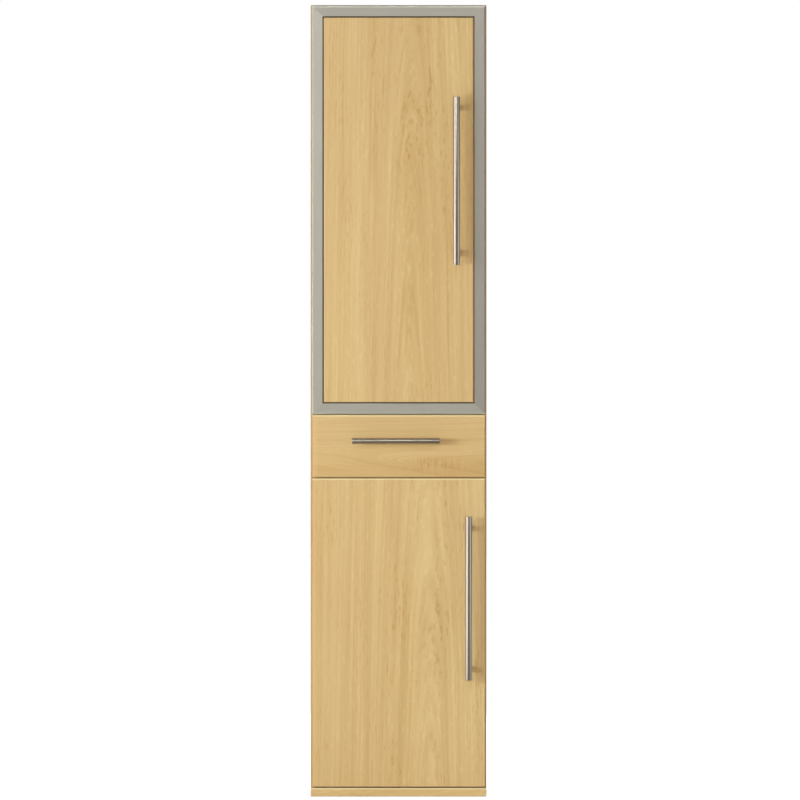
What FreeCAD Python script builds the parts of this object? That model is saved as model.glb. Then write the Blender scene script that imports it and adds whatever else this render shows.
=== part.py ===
import FreeCAD, Part
import math
import os

# Tall bathroom cabinet: a board carcass with a framed upper door, a drawer and a plain lower door.
# Millimetres. +Z is up, the fronts face -Y and +X is the viewer's right. The origin is the centre of
# the base board's underside, at half of the depth from the rear edge to the face of the fronts.

# ---------------------------------------------------------------- driving dimensions: carcass
overall_width = 400.0
overall_height = 1800.0
carcass_depth = 319.0
side_thickness = 16.0
base_thickness = 20.0
board_thickness = 16.0
back_thickness = 3.0
back_setback = 12.0
groove_depth = 6.0
slip_fit = 0.2
rail_height = 80.0
wall_screw_spacing = 256.0
wall_screw_radius = 3.25
wall_screw_access_radius = 7.0

# shelves and their pins
high_shelf_level = 599.5
middle_shelf_level = 292.5
low_shelf_level = 352.0
shelf_setback = 22.0
shelf_end_play = 0.6
pin_radius = 2.5
pin_length_in_side = 8.0
pin_reach = 8.0
pin_setback = 37.0

# knock-down fittings that join the boards
# (small repeated fittings, and the holes that take them, have flat sides)
fitting_sides = 6
cam_sides = 8
round_sides = 24
post_sides = 12
fitting_play = 0.1
fitting_setback = 50.0
cam_radius = 7.4
cam_height = 12.4
cam_distance = 24.0
bolt_radius = 3.0
bolt_thread_length = 11.0
dowel_radius = 4.0
dowel_length_in_panel = 11.0
dowel_length_in_board = 18.0

# ---------------------------------------------------------------- driving dimensions: fronts
front_thickness = 18.0
door_standoff = 3.0
side_reveal = 3.0
top_reveal = 2.0
front_gap = 2.0
base_gap = 2.0
lower_door_height = 701.5
drawer_front_height = 142.0
board_edge_radius = 2.0

# aluminium frame of the upper door and the panel that it holds
frame_width = 24.0
frame_wall = 1.6
frame_inner_wall = 1.2
frame_edge_radius = 3.0
tongue_thickness = 6.0
tongue_play = 0.5
panel_recess = 0.5
panel_lip = 5.6
shadow_gap = 3.0
key_leg = 48.0

# ---------------------------------------------------------------- driving dimensions: hinges
hinge_end_distance = 100.0
pin_inset = 7.0
hinge_pin_radius = 1.25
hinge_running_play = 0.05
knuckle_radius = 2.4
arm_thickness = 2.0
arm_swing_room = 1.0
arm_bend_radius = 1.0
neck_half_width = 4.0
neck_side_play = 0.25
arm_half_width = 7.5
arm_flange = 1.4
arm_widens_at = 14.0
arm_length = 62.0
plate_start = 17.0
plate_length = 50.0
arm_screw_front_inset = 12.0
arm_screw_rear_inset = 9.0
plate_base = 1.5
plate_wing = 24.0
plate_wing_width = 12.0
housing_web = 0.8
housing_depth = 12.8
housing_half_length = 22.0
housing_inner_wall = 0.6
housing_flange = 1.0
housing_flange_half_length = 33.0
pocket_play = 0.4
cup_radius = 17.4
cup_wall = 0.8
cup_edge_distance = 3.0
cup_rim = 1.6
cup_flange_half_width = 5.0
ear_thickness = 2.6
ear_half_height = 3.1
swing_slot_play = 1.0
bore_overrun = 1.0
pocket_corner = 6.0
hinge_screw_spacing = 48.0

# ---------------------------------------------------------------- driving dimensions: drawer
drawer_travel = 210.0
box_side_clearance = 12.5
box_side_height = 95.0
box_board = 12.0
box_floor_clearance = 8.5
box_depth = 285.0
box_bottom_thickness = 4.0
box_bottom_rise = 8.0
box_groove_depth = 6.0
runner_sheet = 1.2
runner_length = 300.0
runner_rise = 6.5
runner_reach = 10.8
runner_lip = 2.4
slide_screw_rise = 0.8
slide_screw_front_inset = 40.0
slide_screw_rear_inset = 50.0
slide_front_gap = 1.0
track_drop = 1.0
track_end_gap = 3.0
runner_end_gap = 2.0
front_roller_setback = 1.0
roller_radius = 11.0
roller_width = 6.0
roller_from_side = 3.4
roller_play = 0.05
axle_radius = 2.5
axle_head_radius = 3.6
axle_head_length = 0.8
ceiling_play = 1.0

# ---------------------------------------------------------------- driving dimensions: handles
door_bar_radius = 8.0
drawer_bar_radius = 7.0
upper_bar_length = 382.0
lower_bar_length = 372.0
drawer_bar_length = 200.0
bar_overhang = 26.5
bar_distance = 28.0
post_radius = 5.0
upper_bar_from_edge = 65.5
upper_bar_level = 529.5
lower_bar_from_edge = 38.0
lower_bar_level = 429.0
drawer_bar_offset = -6.0
drawer_bar_level = 83.0

# screws and bumpers
machine_screw_radius = 2.0
machine_screw_play = 0.25
machine_screw_in_post = 9.0
machine_head_radius = 4.0
machine_head_height = 2.4
wood_screw_radius = 1.75
wood_screw_head_radius = 3.2
wood_screw_head_height = 1.2
wood_screw_length = 10.0
screw_play = 0.05
bumper_radius = 4.0
bumper_gap = 0.1
bumper_from_corner = 45.0

# ---------------------------------------------------------------- levels worked out from them
X_AXIS = FreeCAD.Vector(1, 0, 0)
Y_AXIS = FreeCAD.Vector(0, 1, 0)
Z_AXIS = FreeCAD.Vector(0, 0, 1)

depth = carcass_depth + door_standoff + front_thickness
y_face = -depth / 2
y_front_back = y_face + front_thickness
y_carcass = y_front_back + door_standoff
y_rear = depth / 2
y_back_rear = y_rear - back_setback
y_back_face = y_back_rear - back_thickness
y_board_rear = y_back_face - slip_fit

x_side = overall_width / 2
x_inner = x_side - side_thickness
x_front = x_side - side_reveal

z_top_board = overall_height - board_thickness
z_lower_door = base_thickness + base_gap
z_lower_door_top = z_lower_door + lower_door_height
z_drawer = z_lower_door_top + front_gap
z_drawer_top = z_drawer + drawer_front_height
z_upper_door = z_drawer_top + front_gap
z_upper_door_top = overall_height - top_reveal
z_lower_divider = z_lower_door_top + (front_gap - board_thickness) / 2
z_upper_divider = z_drawer_top + (front_gap - board_thickness) / 2
z_low_floor = base_thickness
z_drawer_floor = z_lower_divider + board_thickness
z_upper_floor = z_upper_divider + board_thickness
z_rail = z_top_board - rail_height
z_wall_screws = z_rail + rail_height / 2

y_fitting_front = y_carcass + fitting_setback
y_fitting_rear = y_board_rear - fitting_setback
y_dowel = (y_fitting_front + y_fitting_rear) / 2
y_pin_front = y_carcass + pin_setback
y_pin_rear = y_board_rear - pin_setback

# hinges: one pin line near the left edge of the doors, half way through their thickness
pin_to_back = front_thickness / 2
x_hinge = -x_front + pin_inset
y_hinge = y_face + front_thickness - pin_to_back
side_to_pin = side_thickness - side_reveal - pin_inset
arm_offset = pin_to_back + arm_swing_room
arm_outer = arm_offset + arm_thickness
plate_height = arm_offset - side_to_pin
upper_hinge_levels = (z_upper_door + hinge_end_distance, z_upper_door_top - hinge_end_distance)
lower_hinge_levels = (z_lower_door + hinge_end_distance, z_lower_door_top - hinge_end_distance)
hinge_levels = lower_hinge_levels + upper_hinge_levels

# frame section, measured from its outer edge and its face
chamber_end = pin_inset + arm_outer + pocket_play + housing_inner_wall + slip_fit
groove_start = chamber_end + frame_inner_wall
groove_near = panel_recess + panel_lip - slip_fit / 2
groove_far = groove_near + tongue_thickness + slip_fit
y_panel = y_face + panel_recess
y_panel_back = y_panel + panel_lip + tongue_thickness

# drawer runners
z_runner = z_drawer_floor + runner_rise
z_track = z_runner + 2 * roller_radius + roller_play * 2 + runner_sheet - track_drop
z_front_roller = z_track - roller_play - roller_radius
z_rear_roller = z_runner + runner_sheet + roller_play + roller_radius
z_ceiling = z_rear_roller + roller_radius + ceiling_play
z_box = z_drawer_floor + box_floor_clearance
x_box = x_inner - box_side_clearance
y_box_rear = y_front_back + box_depth
y_front_roller = y_carcass + roller_radius + front_roller_setback
y_rear_roller = y_box_rear - roller_radius


# ---------------------------------------------------------------- shape helpers
def block(x0, x1, y0, y1, z0, z1):
    """A box between two corners, given in any order."""
    size = FreeCAD.Vector(abs(x1 - x0), abs(y1 - y0), abs(z1 - z0))
    corner = FreeCAD.Vector(min(x0, x1), min(y0, y1), min(z0, z1))
    return Part.makeBox(size.x, size.y, size.z, corner)


def rod(start, direction, radius, length):
    """A round bar from a point along a direction."""
    return Part.makeCylinder(radius, length, start, direction)


def stud(start, way, radius, length, sides=fitting_sides):
    """A short bar with flat sides, from a point along a direction."""
    arm = X_AXIS if abs(way.x) < 0.5 else Z_AXIS
    rim = [start + FreeCAD.Rotation(way, 360.0 * step / sides).multVec(arm) * radius for step in range(sides)]
    return Part.Face(Part.makePolygon(rim + rim[:1])).extrude(way * length)


def point(x, y, z):
    return FreeCAD.Vector(x, y, z)


def joined(shapes):
    """Several touching solids made into one."""
    return shapes[0].fuse(shapes[1:]).removeSplitter()


def bored(board, tools):
    """A board with every tool that reaches it cut out."""
    near = [tool for tool in tools if tool.BoundBox.intersect(board.BoundBox)]
    if not near:
        return board
    return board.cut(near)


def outline(points, low, high):
    """A flat outline in X and Y, raised from one level to another."""
    corners = [point(x, y, low) for x, y in points]
    wire = Part.makePolygon(corners + corners[:1])
    return Part.Face(wire).extrude(Z_AXIS * (high - low))


def eased(board, radius):
    """A front board with its face edges slightly rounded."""
    face = board.BoundBox.YMin
    edges = [edge for edge in board.Edges if edge.BoundBox.YMax < face + 0.001]
    return board.makeFillet(radius, edges)


# ---------------------------------------------------------------- knock-down fittings
class Joint:
    """A board's end that meets another board: place, way into the board, and way into its cam bore."""

    def __init__(self, place, inward, cam_way, half_board):
        self.place = place
        self.inward = inward
        self.cam_way = cam_way
        self.half_board = half_board

    def moved(self, y):
        place = point(self.place.x, y, self.place.z)
        return Joint(place, self.inward, self.cam_way, self.half_board)


def joint_lines():
    """One joint for each board end, without its place along the depth."""
    lines = []
    for hand in (-1, 1):
        for z in (z_lower_divider, z_upper_divider, z_top_board):
            place = point(hand * x_inner, 0, z + board_thickness / 2)
            lines.append(Joint(place, X_AXIS * -hand, Z_AXIS, board_thickness / 2))
        foot = point(hand * (x_inner + side_thickness / 2), 0, base_thickness)
        lines.append(Joint(foot, Z_AXIS, X_AXIS * hand, side_thickness / 2))
    return lines


def cam_joints():
    return [line.moved(y) for line in joint_lines() for y in (y_fitting_front, y_fitting_rear)]


def dowel_joints():
    joints = [line.moved(y_dowel) for line in joint_lines()]
    for hand in (-1, 1):
        place = point(hand * x_inner, y_board_rear - board_thickness / 2, z_wall_screws)
        joints.append(Joint(place, X_AXIS * -hand, Z_AXIS, board_thickness / 2))
    return joints


def cam_bolt(joint, play):
    """A bolt from the side panel into the middle of its cam."""
    start = joint.place - joint.inward * (bolt_thread_length + play)
    return stud(start, joint.inward, bolt_radius + play, bolt_thread_length + cam_distance + play)


def cam_lock(joint, play):
    """A round cam in its blind bore; its bolt ends inside it."""
    start = joint.place + joint.inward * cam_distance - joint.cam_way * joint.half_board
    body = stud(start, joint.cam_way, cam_radius + play, cam_height + play, cam_sides)
    if play:
        return body
    return body.cut(cam_bolt(joint, fitting_play))


def dowel(joint, play):
    start = joint.place - joint.inward * (dowel_length_in_panel + play)
    length = dowel_length_in_panel + dowel_length_in_board + 2 * play
    return stud(start, joint.inward, dowel_radius + play, length)


def fitting_holes():
    holes = []
    for joint in cam_joints():
        holes += [cam_bolt(joint, fitting_play), cam_lock(joint, fitting_play)]
    return holes + [dowel(joint, fitting_play) for joint in dowel_joints()]


# ---------------------------------------------------------------- shelves and pins
def shelf_levels():
    """The underside of each shelf: high, middle, low."""
    upper = (z_upper_floor + high_shelf_level, z_upper_floor + middle_shelf_level)
    return upper + (z_low_floor + low_shelf_level,)


def shelf(level):
    end = x_inner - shelf_end_play
    front = y_carcass + shelf_setback
    return block(-end, end, front, y_board_rear - slip_fit, level, level + board_thickness)


def pin_places():
    """Every pin that carries a shelf: the side it is in, its Y and its Z."""
    places = []
    for level in shelf_levels():
        for hand in (-1, 1):
            for y in (y_pin_front, y_pin_rear):
                places.append((hand, y, level - pin_radius - screw_play))
    return places


def shelf_pin(hand, y, z):
    start = point(hand * (x_inner + pin_length_in_side), y, z)
    return stud(start, X_AXIS * -hand, pin_radius, pin_length_in_side + pin_reach)


def pin_holes():
    """The blind hole in a side panel for each pin."""
    holes = []
    depth_of_hole = pin_length_in_side + slip_fit
    for hand, y, z in pin_places():
        start = point(hand * (x_inner + depth_of_hole), y, z)
        holes.append(stud(start, X_AXIS * -hand, pin_radius + screw_play, depth_of_hole))
    return holes


# ---------------------------------------------------------------- carcass boards
def side_panel(hand, tools):
    panel = block(hand * x_inner, hand * x_side, y_carcass, y_rear, base_thickness, overall_height)
    groove_end = x_inner + groove_depth
    groove = block(hand * x_inner, hand * groove_end, y_back_face - slip_fit, y_back_rear + slip_fit,
                   base_thickness, z_top_board + groove_depth)
    return bored(panel, [groove] + tools)


def base_panel(tools):
    panel = block(-x_side, x_side, y_face, y_rear, 0, base_thickness)
    panel = eased(panel, board_edge_radius)
    groove_end = x_inner + groove_depth
    groove = block(-groove_end, groove_end, y_back_face - slip_fit, y_back_rear + slip_fit,
                   base_thickness - groove_depth, base_thickness)
    return bored(panel, [groove] + tools)


def top_panel(tools):
    panel = block(-x_inner, x_inner, y_carcass, y_rear, z_top_board, overall_height)
    groove = block(-x_inner, x_inner, y_back_face - slip_fit, y_back_rear + slip_fit,
                   z_top_board, z_top_board + groove_depth)
    return bored(panel, [groove] + tools)


def divider(level, tools):
    panel = block(-x_inner, x_inner, y_carcass, y_board_rear, level, level + board_thickness)
    return bored(panel, tools)


def wall_screw_axes():
    front = y_board_rear - board_thickness
    return [point(hand * wall_screw_spacing / 2, front, z_wall_screws) for hand in (-1, 1)]


def wall_rail(tools):
    rail = block(-x_inner, x_inner, y_board_rear - board_thickness, y_board_rear, z_rail, z_top_board)
    holes = [rod(start, Y_AXIS, wall_screw_radius, board_thickness) for start in wall_screw_axes()]
    return bored(rail, holes + tools)


def back_panel():
    reach = groove_depth - slip_fit
    edge = x_inner + reach
    sheet = block(-edge, edge, y_back_face, y_back_rear, base_thickness - reach, z_top_board + reach)
    holes = [stud(start, Y_AXIS, wall_screw_access_radius, y_rear - start.y, cam_sides)
             for start in wall_screw_axes()]
    return sheet.cut(holes)


# ---------------------------------------------------------------- screws
def wood_screw(start, way, play=0.0):
    """A screw whose head rests on start and whose shank runs along way; with play, its hole."""
    shank = stud(start, way, wood_screw_radius + play, wood_screw_length + play)
    if play:
        return shank
    head = stud(start - way * wood_screw_head_height, way, wood_screw_head_radius, wood_screw_head_height)
    return joined([shank, head])


def machine_screw(start, way, grip, play=0.0):
    """A handle screw: head on the inside of a front, shank through it into the post."""
    shank = stud(start, way, machine_screw_radius + play, grip + machine_screw_in_post)
    if play:
        return shank
    head = stud(start - way * machine_head_height, way, machine_head_radius, machine_head_height)
    return joined([shank, head])


# ---------------------------------------------------------------- hinges
def at_hinge(shape, level):
    """Move a hinge piece from the pin's own origin to its place on the door."""
    return shape.translated(point(x_hinge, y_hinge, level))


def hinge_arm():
    """Cranked arm: knuckle on the pin, neck behind the door's face, run along the side panel."""
    half = arm_thickness / 2
    bend = arm_bend_radius
    outer = bend + arm_thickness
    bend_x = arm_offset - bend
    bend_y = half + bend
    low = -neck_half_width
    slant = math.sqrt(0.5)
    path = [
        Part.LineSegment(point(0, -half, low), point(bend_x, -half, low)),
        Part.Arc(point(bend_x, -half, low), point(bend_x + outer * slant, bend_y - outer * slant, low),
                 point(arm_outer, bend_y, low)),
        Part.LineSegment(point(arm_outer, bend_y, low), point(arm_outer, arm_length, low)),
        Part.LineSegment(point(arm_outer, arm_length, low), point(arm_offset, arm_length, low)),
        Part.LineSegment(point(arm_offset, arm_length, low), point(arm_offset, bend_y, low)),
        Part.Arc(point(arm_offset, bend_y, low), point(bend_x + bend * slant, bend_y - bend * slant, low),
                 point(bend_x, half, low)),
        Part.LineSegment(point(bend_x, half, low), point(0, half, low)),
        Part.LineSegment(point(0, half, low), point(0, -half, low)),
    ]
    strip = Part.Face(Part.Wire([piece.toShape() for piece in path])).extrude(Z_AXIS * 2 * neck_half_width)
    knuckle = rod(point(0, 0, low), Z_AXIS, knuckle_radius, 2 * neck_half_width)
    wide = block(arm_offset, arm_outer, arm_widens_at, arm_length, -arm_half_width, arm_half_width)
    flange_start = max(plate_start, arm_widens_at)
    flange_low = side_to_pin + plate_base + slip_fit
    flanges = []
    for hand in (-1, 1):
        edge = hand * arm_half_width
        inside = edge - hand * arm_flange
        flanges.append(block(flange_low, arm_offset, flange_start, arm_length, edge, inside))
    arm = joined([strip, knuckle, wide] + flanges)
    bore = rod(point(0, 0, low), Z_AXIS, hinge_pin_radius + hinge_running_play, 2 * neck_half_width)
    return arm.cut([bore] + arm_screw_holes())


def arm_screw_stations():
    """Where the two screws of an arm stand along it."""
    return (plate_start + arm_screw_front_inset, arm_length - arm_screw_rear_inset)


def arm_screw(station):
    length = arm_thickness + plate_height - plate_base / 2
    start = point(arm_outer, station, 0)
    shank = stud(start, X_AXIS * -1, machine_screw_radius, length)
    head = stud(start, X_AXIS, machine_head_radius, wood_screw_head_height)
    return joined([shank, head])


def arm_screw_holes():
    length = arm_thickness + plate_height - plate_base / 2 + screw_play
    holes = []
    for station in arm_screw_stations():
        start = point(arm_outer, station, 0)
        holes.append(stud(start, X_AXIS * -1, machine_screw_radius + screw_play, length))
    return holes


def plate_screw_places():
    """Heads of the two screws of a mounting plate, seen from the pin's own origin."""
    station = plate_start + plate_length / 2
    reach = plate_wing - plate_wing_width / 2
    return [point(side_to_pin + plate_base, station, hand * reach) for hand in (-1, 1)]


def hinge_plate():
    """Mounting plate on the side panel: a ridge that carries the arm, and two screwed wings."""
    end = plate_start + plate_length
    middle = (plate_start + end) / 2
    ridge_half = arm_half_width - arm_flange - slip_fit
    foot = block(side_to_pin, side_to_pin + plate_base, plate_start, end, -arm_half_width, arm_half_width)
    ridge = block(side_to_pin, side_to_pin + plate_height, plate_start, end, -ridge_half, ridge_half)
    half_wing = plate_wing_width / 2
    corner = half_wing / 2
    inset = plate_wing - corner
    lower_edge = [(-plate_wing, -corner), (-inset, -half_wing), (inset, -half_wing), (plate_wing, -corner)]
    upper_edge = [(x, -y) for x, y in reversed(lower_edge)]
    wing = outline(lower_edge + upper_edge, 0, plate_base)
    wing.rotate(point(0, 0, 0), Y_AXIS, 90)
    wing.translate(point(side_to_pin, middle, 0))
    plate = joined([foot, ridge, wing])
    holes = [wood_screw(place, X_AXIS * -1, screw_play) for place in plate_screw_places()]
    return plate.cut(holes + arm_screw_holes())


def ear_outer():
    return neck_half_width + neck_side_play + ear_thickness


def hinge_pin():
    return rod(point(0, 0, -ear_outer()), Z_AXIS, hinge_pin_radius, 2 * ear_outer())


def cup_centre():
    return cup_edge_distance + cup_radius + fitting_play - pin_inset


def hinge_cup():
    """Round cup of the lower door, with ears that hold the pin and a screwed flange."""
    centre = cup_centre()
    back = pin_to_back
    floor = back - housing_depth
    rim_face = back + housing_flange
    shell = stud(point(centre, floor, 0), Y_AXIS, cup_radius, housing_depth, round_sides)
    rim = stud(point(centre, back, 0), Y_AXIS, cup_radius + cup_rim, housing_flange, round_sides)
    reach = hinge_screw_spacing / 2 + cup_flange_half_width
    half = cup_flange_half_width
    flange = block(centre - half, centre + half, back, rim_face, -reach, reach)
    hollow = stud(point(centre, floor + housing_web, 0), Y_AXIS, cup_radius - cup_wall,
                  housing_depth + housing_flange, round_sides)
    swing_half = neck_half_width + swing_slot_play
    swing = block(-pin_inset, centre, back, rim_face, -swing_half, swing_half)
    cup = joined([shell, rim, flange]).cut([hollow, swing])
    ears = []
    for hand in (-1, 1):
        ear = block(-ear_half_height, ear_half_height, floor, ear_half_height,
                    hand * (neck_half_width + neck_side_play), hand * ear_outer())
        ears.append(ear.common(shell))
    cup = joined([cup] + ears)
    holes = [wood_screw(place, Y_AXIS * -1, screw_play) for place in cup_screw_places()]
    return cup.cut([hinge_pin()] + holes)


def cup_screw_places():
    """Heads of the two screws of a cup, seen from the pin's own origin."""
    back = pin_to_back + housing_flange
    return [point(cup_centre(), back, hand * hinge_screw_spacing / 2) for hand in (-1, 1)]


def cup_bore():
    start = pin_to_back - housing_depth - fitting_play
    return stud(point(cup_centre(), start, 0), Y_AXIS, cup_radius + fitting_play,
                housing_depth + bore_overrun, round_sides)


def housing_block(play):
    """Long block with cut corners that sits in the frame's chamber."""
    near = frame_wall + slip_fit - pin_inset - play
    far = chamber_end - slip_fit - pin_inset + play
    half = housing_half_length + play
    straight = half - pocket_corner
    ends = [(near, -straight), (near + pocket_corner, -half), (far - pocket_corner, -half), (far, -straight)]
    points = ends + [(x, -z) for x, z in reversed(ends)]
    body = outline(points, 0, housing_depth + play)
    body.rotate(point(0, 0, 0), X_AXIS, 90)
    body.translate(point(0, pin_to_back, 0))
    return body


def hinge_housing():
    """Hinge block of the framed door: it sits in the stile and holds the pin across its slot."""
    body = housing_block(0.0)
    near = frame_wall + slip_fit - pin_inset
    far = chamber_end - slip_fit - pin_inset
    back = pin_to_back
    face = back + housing_flange
    flange = block(near, far, back, face, -housing_flange_half_length, housing_flange_half_length)
    slot_half = neck_half_width + neck_side_play
    slot_near = -knuckle_radius - pocket_play
    slot = block(slot_near, arm_outer + pocket_play, back - housing_depth + housing_web, face,
                 -slot_half, slot_half)
    swing = block(near, slot_near, back, face, -slot_half, slot_half)
    housing = joined([body, flange]).cut([slot, swing])
    holes = [wood_screw(place, Y_AXIS * -1, screw_play) for place in housing_screw_places()]
    return housing.cut([hinge_pin()] + holes)


def housing_screw_places():
    """Heads of the two screws of a housing, seen from the pin's own origin."""
    middle = (frame_wall + chamber_end) / 2 - pin_inset
    reach = (housing_half_length + housing_flange_half_length) / 2
    back = pin_to_back + housing_flange
    return [point(middle, back, hand * reach) for hand in (-1, 1)]


# ---------------------------------------------------------------- handles
class Handle:
    """A round bar on two posts, with a screw through the front into each post."""

    def __init__(self, middle, way, length, radius, face, back):
        self.way = way
        self.length = length
        self.radius = radius
        self.face = face
        self.back = back
        self.axis_y = face - bar_distance
        self.middle = point(middle.x, self.axis_y, middle.z)

    def bar(self):
        start = self.middle - self.way * (self.length / 2)
        return rod(start, self.way, self.radius, self.length)

    def post_feet(self):
        reach = self.length / 2 - bar_overhang
        feet = []
        for hand in (-1, 1):
            on_axis = self.middle + self.way * (hand * reach)
            feet.append(point(on_axis.x, self.face, on_axis.z))
        return feet

    def screw_heads(self):
        return [point(foot.x, self.back, foot.z) for foot in self.post_feet()]

    def screws(self, play=0.0):
        grip = self.back - self.face
        return [machine_screw(head, Y_AXIS * -1, grip, play) for head in self.screw_heads()]

    def posts(self):
        posts = []
        for foot in self.post_feet():
            post = stud(foot, Y_AXIS * -1, post_radius, bar_distance, post_sides)
            posts.append(post.cut([self.bar()] + self.screws(screw_play)))
        return posts

    def holes(self):
        return self.screws(machine_screw_play)


upper_handle = Handle(point(x_front - upper_bar_from_edge, 0, z_upper_door + upper_bar_level), Z_AXIS,
                      upper_bar_length, door_bar_radius, y_panel, y_panel_back)
lower_handle = Handle(point(x_front - lower_bar_from_edge, 0, z_lower_door + lower_bar_level), Z_AXIS,
                      lower_bar_length, door_bar_radius, y_face, y_front_back)
drawer_handle = Handle(point(drawer_bar_offset, 0, z_drawer + drawer_bar_level), X_AXIS,
                       drawer_bar_length, drawer_bar_radius, y_face, y_front_back)


# ---------------------------------------------------------------- upper door
def frame_section():
    """Section of the frame in X (from its outer edge) and Y (from its face), with its hollow chamber."""
    radius = frame_edge_radius
    slant = radius * (1 - math.sqrt(0.5))
    points = [(0, radius), (0, front_thickness), (frame_width, front_thickness), (frame_width, groove_far),
              (groove_start, groove_far), (groove_start, groove_near), (frame_width, groove_near),
              (frame_width, 0), (radius, 0)]
    corners = [point(x, y, 0) for x, y in points]
    edges = [Part.LineSegment(a, b).toShape() for a, b in zip(corners, corners[1:])]
    edges.append(Part.Arc(point(radius, 0, 0), point(slant, slant, 0), point(0, radius, 0)).toShape())
    skin = Part.Face(Part.Wire(edges))
    chamber = [point(frame_wall, frame_wall, 0), point(chamber_end, frame_wall, 0),
               point(chamber_end, front_thickness - frame_wall, 0),
               point(frame_wall, front_thickness - frame_wall, 0)]
    hollow = Part.Face(Part.makePolygon(chamber + chamber[:1]))
    return skin.cut(hollow)


def frame_member(length):
    """One mitred length of the profile, standing on its outer corner, its outer edge at X = 0."""
    bar = frame_section().extrude(Z_AXIS * length)
    mitre = [(0, 0), (frame_width, frame_width), (frame_width, length - frame_width), (0, length)]
    corners = [point(x, 0, z) for x, z in mitre]
    wedge = Part.Face(Part.makePolygon(corners + corners[:1])).extrude(Y_AXIS * front_thickness)
    return bar.common(wedge)


def frame_members():
    """The four members in place: hinge stile, handle stile, bottom rail, top rail."""
    width = 2 * x_front
    height = z_upper_door_top - z_upper_door
    stile = frame_member(height)
    rail = frame_member(width)
    hinge_side = stile.translated(point(-x_front, y_face, z_upper_door))
    handle_side = hinge_side.mirror(point(0, 0, 0), X_AXIS)
    rail.rotate(point(0, 0, 0), Y_AXIS, 90)
    top = rail.translated(point(-x_front, y_face, z_upper_door_top))
    level = (z_upper_door + z_upper_door_top) / 2
    bottom = top.mirror(point(0, 0, level), Z_AXIS)
    return hinge_side, handle_side, bottom, top


def hinge_stile(blank):
    """The left stile, cut open at its back for the two hinge housings."""
    tools = []
    for level in upper_hinge_levels:
        tools.append(at_hinge(housing_block(slip_fit), level))
        tools += [at_hinge(wood_screw(place, Y_AXIS * -1, screw_play), level)
                  for place in housing_screw_places()]
    return bored(blank, tools)


def corner_key(hand, level, up):
    """An angle in the chambers of two frame members."""
    near = frame_wall + slip_fit
    far = chamber_end - slip_fit
    y0 = y_face + frame_wall + slip_fit
    y1 = y_front_back - frame_wall - slip_fit
    outer = x_front - near
    inner = x_front - far
    tip = x_front - key_leg
    upright = block(hand * outer, hand * inner, y0, y1, level + up * near, level + up * key_leg)
    across = block(hand * outer, hand * tip, y0, y1, level + up * near, level + up * far)
    return joined([upright, across])


def corner_keys():
    return [corner_key(hand, level, up) for hand in (-1, 1)
            for level, up in ((z_upper_door, 1), (z_upper_door_top, -1))]


def upper_door_panel():
    """Oak-faced panel: a raised field inside the shadow gap and a tongue in the frame's groove."""
    edge = groove_start + tongue_play
    field = frame_width + shadow_gap
    tongue = block(-x_front + edge, x_front - edge, y_panel + panel_lip, y_panel_back,
                   z_upper_door + edge, z_upper_door_top - edge)
    face = block(-x_front + field, x_front - field, y_panel, y_panel_back,
                 z_upper_door + field, z_upper_door_top - field)
    panel = joined([tongue, eased(face, board_edge_radius)])
    return bored(panel, upper_handle.holes())


# ---------------------------------------------------------------- lower door and drawer
def lower_door():
    board = block(-x_front, x_front, y_face, y_front_back, z_lower_door, z_lower_door_top)
    tools = lower_handle.holes()
    for level in lower_hinge_levels:
        tools.append(at_hinge(cup_bore(), level))
        tools += [at_hinge(wood_screw(place, Y_AXIS * -1, screw_play), level) for place in cup_screw_places()]
    return bored(eased(board, board_edge_radius), tools)


def drawer_front():
    board = block(-x_front, x_front, y_face, y_front_back, z_drawer, z_drawer_top)
    return bored(eased(board, board_edge_radius), drawer_handle.holes())


def bottom_sheet(play):
    """The drawer's bottom, or with play the groove that it slides into."""
    reach = x_box - box_board + box_groove_depth - slip_fit + play
    low = z_box + box_bottom_rise - play
    high = low + box_bottom_thickness + 2 * play
    return block(-reach, reach, y_front_back, y_box_rear, low, high)


def drawer_side(hand, tools):
    top = z_box + box_side_height
    side = block(hand * x_box, hand * (x_box - box_board), y_front_back, y_box_rear, z_box, top)
    return bored(side, [bottom_sheet(slip_fit)] + tools)


def drawer_back():
    edge = x_box - box_board
    low = z_box + box_bottom_rise + box_bottom_thickness + slip_fit
    return block(-edge, edge, y_box_rear - box_board, y_box_rear, low, z_box + box_side_height)


# ---------------------------------------------------------------- runners and rollers
def runner_x(hand, from_side):
    """X of a point at a distance from the inner face of a side panel."""
    return hand * (x_inner - from_side)


def runner_screw_places():
    return [y_carcass + runner_length * share for share in (0.25, 0.8)]


def runner_screws(hand, play=0.0):
    z = (z_runner + z_ceiling) / 2
    screws = []
    for y in runner_screw_places():
        screws.append(wood_screw(point(runner_x(hand, runner_sheet), y, z), X_AXIS * hand, play))
    return screws


def axle(x_web, way, y, z):
    """A riveted axle: its shank carries a roller and its head keeps the roller on."""
    start = point(x_web, y, z)
    length = roller_reach_from(x_web) + 2 * roller_play
    shank = rod(start, way, axle_radius, length)
    head = stud(start + way * length, way, axle_head_radius, axle_head_length)
    return [shank, head]


def roller_reach_from(x_web):
    """From a web to the far side of the roller beside it."""
    near = abs(abs(x_web) - (x_inner - roller_from_side))
    far = abs(abs(x_web) - (x_inner - roller_from_side - roller_width))
    return max(near, far)


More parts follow.
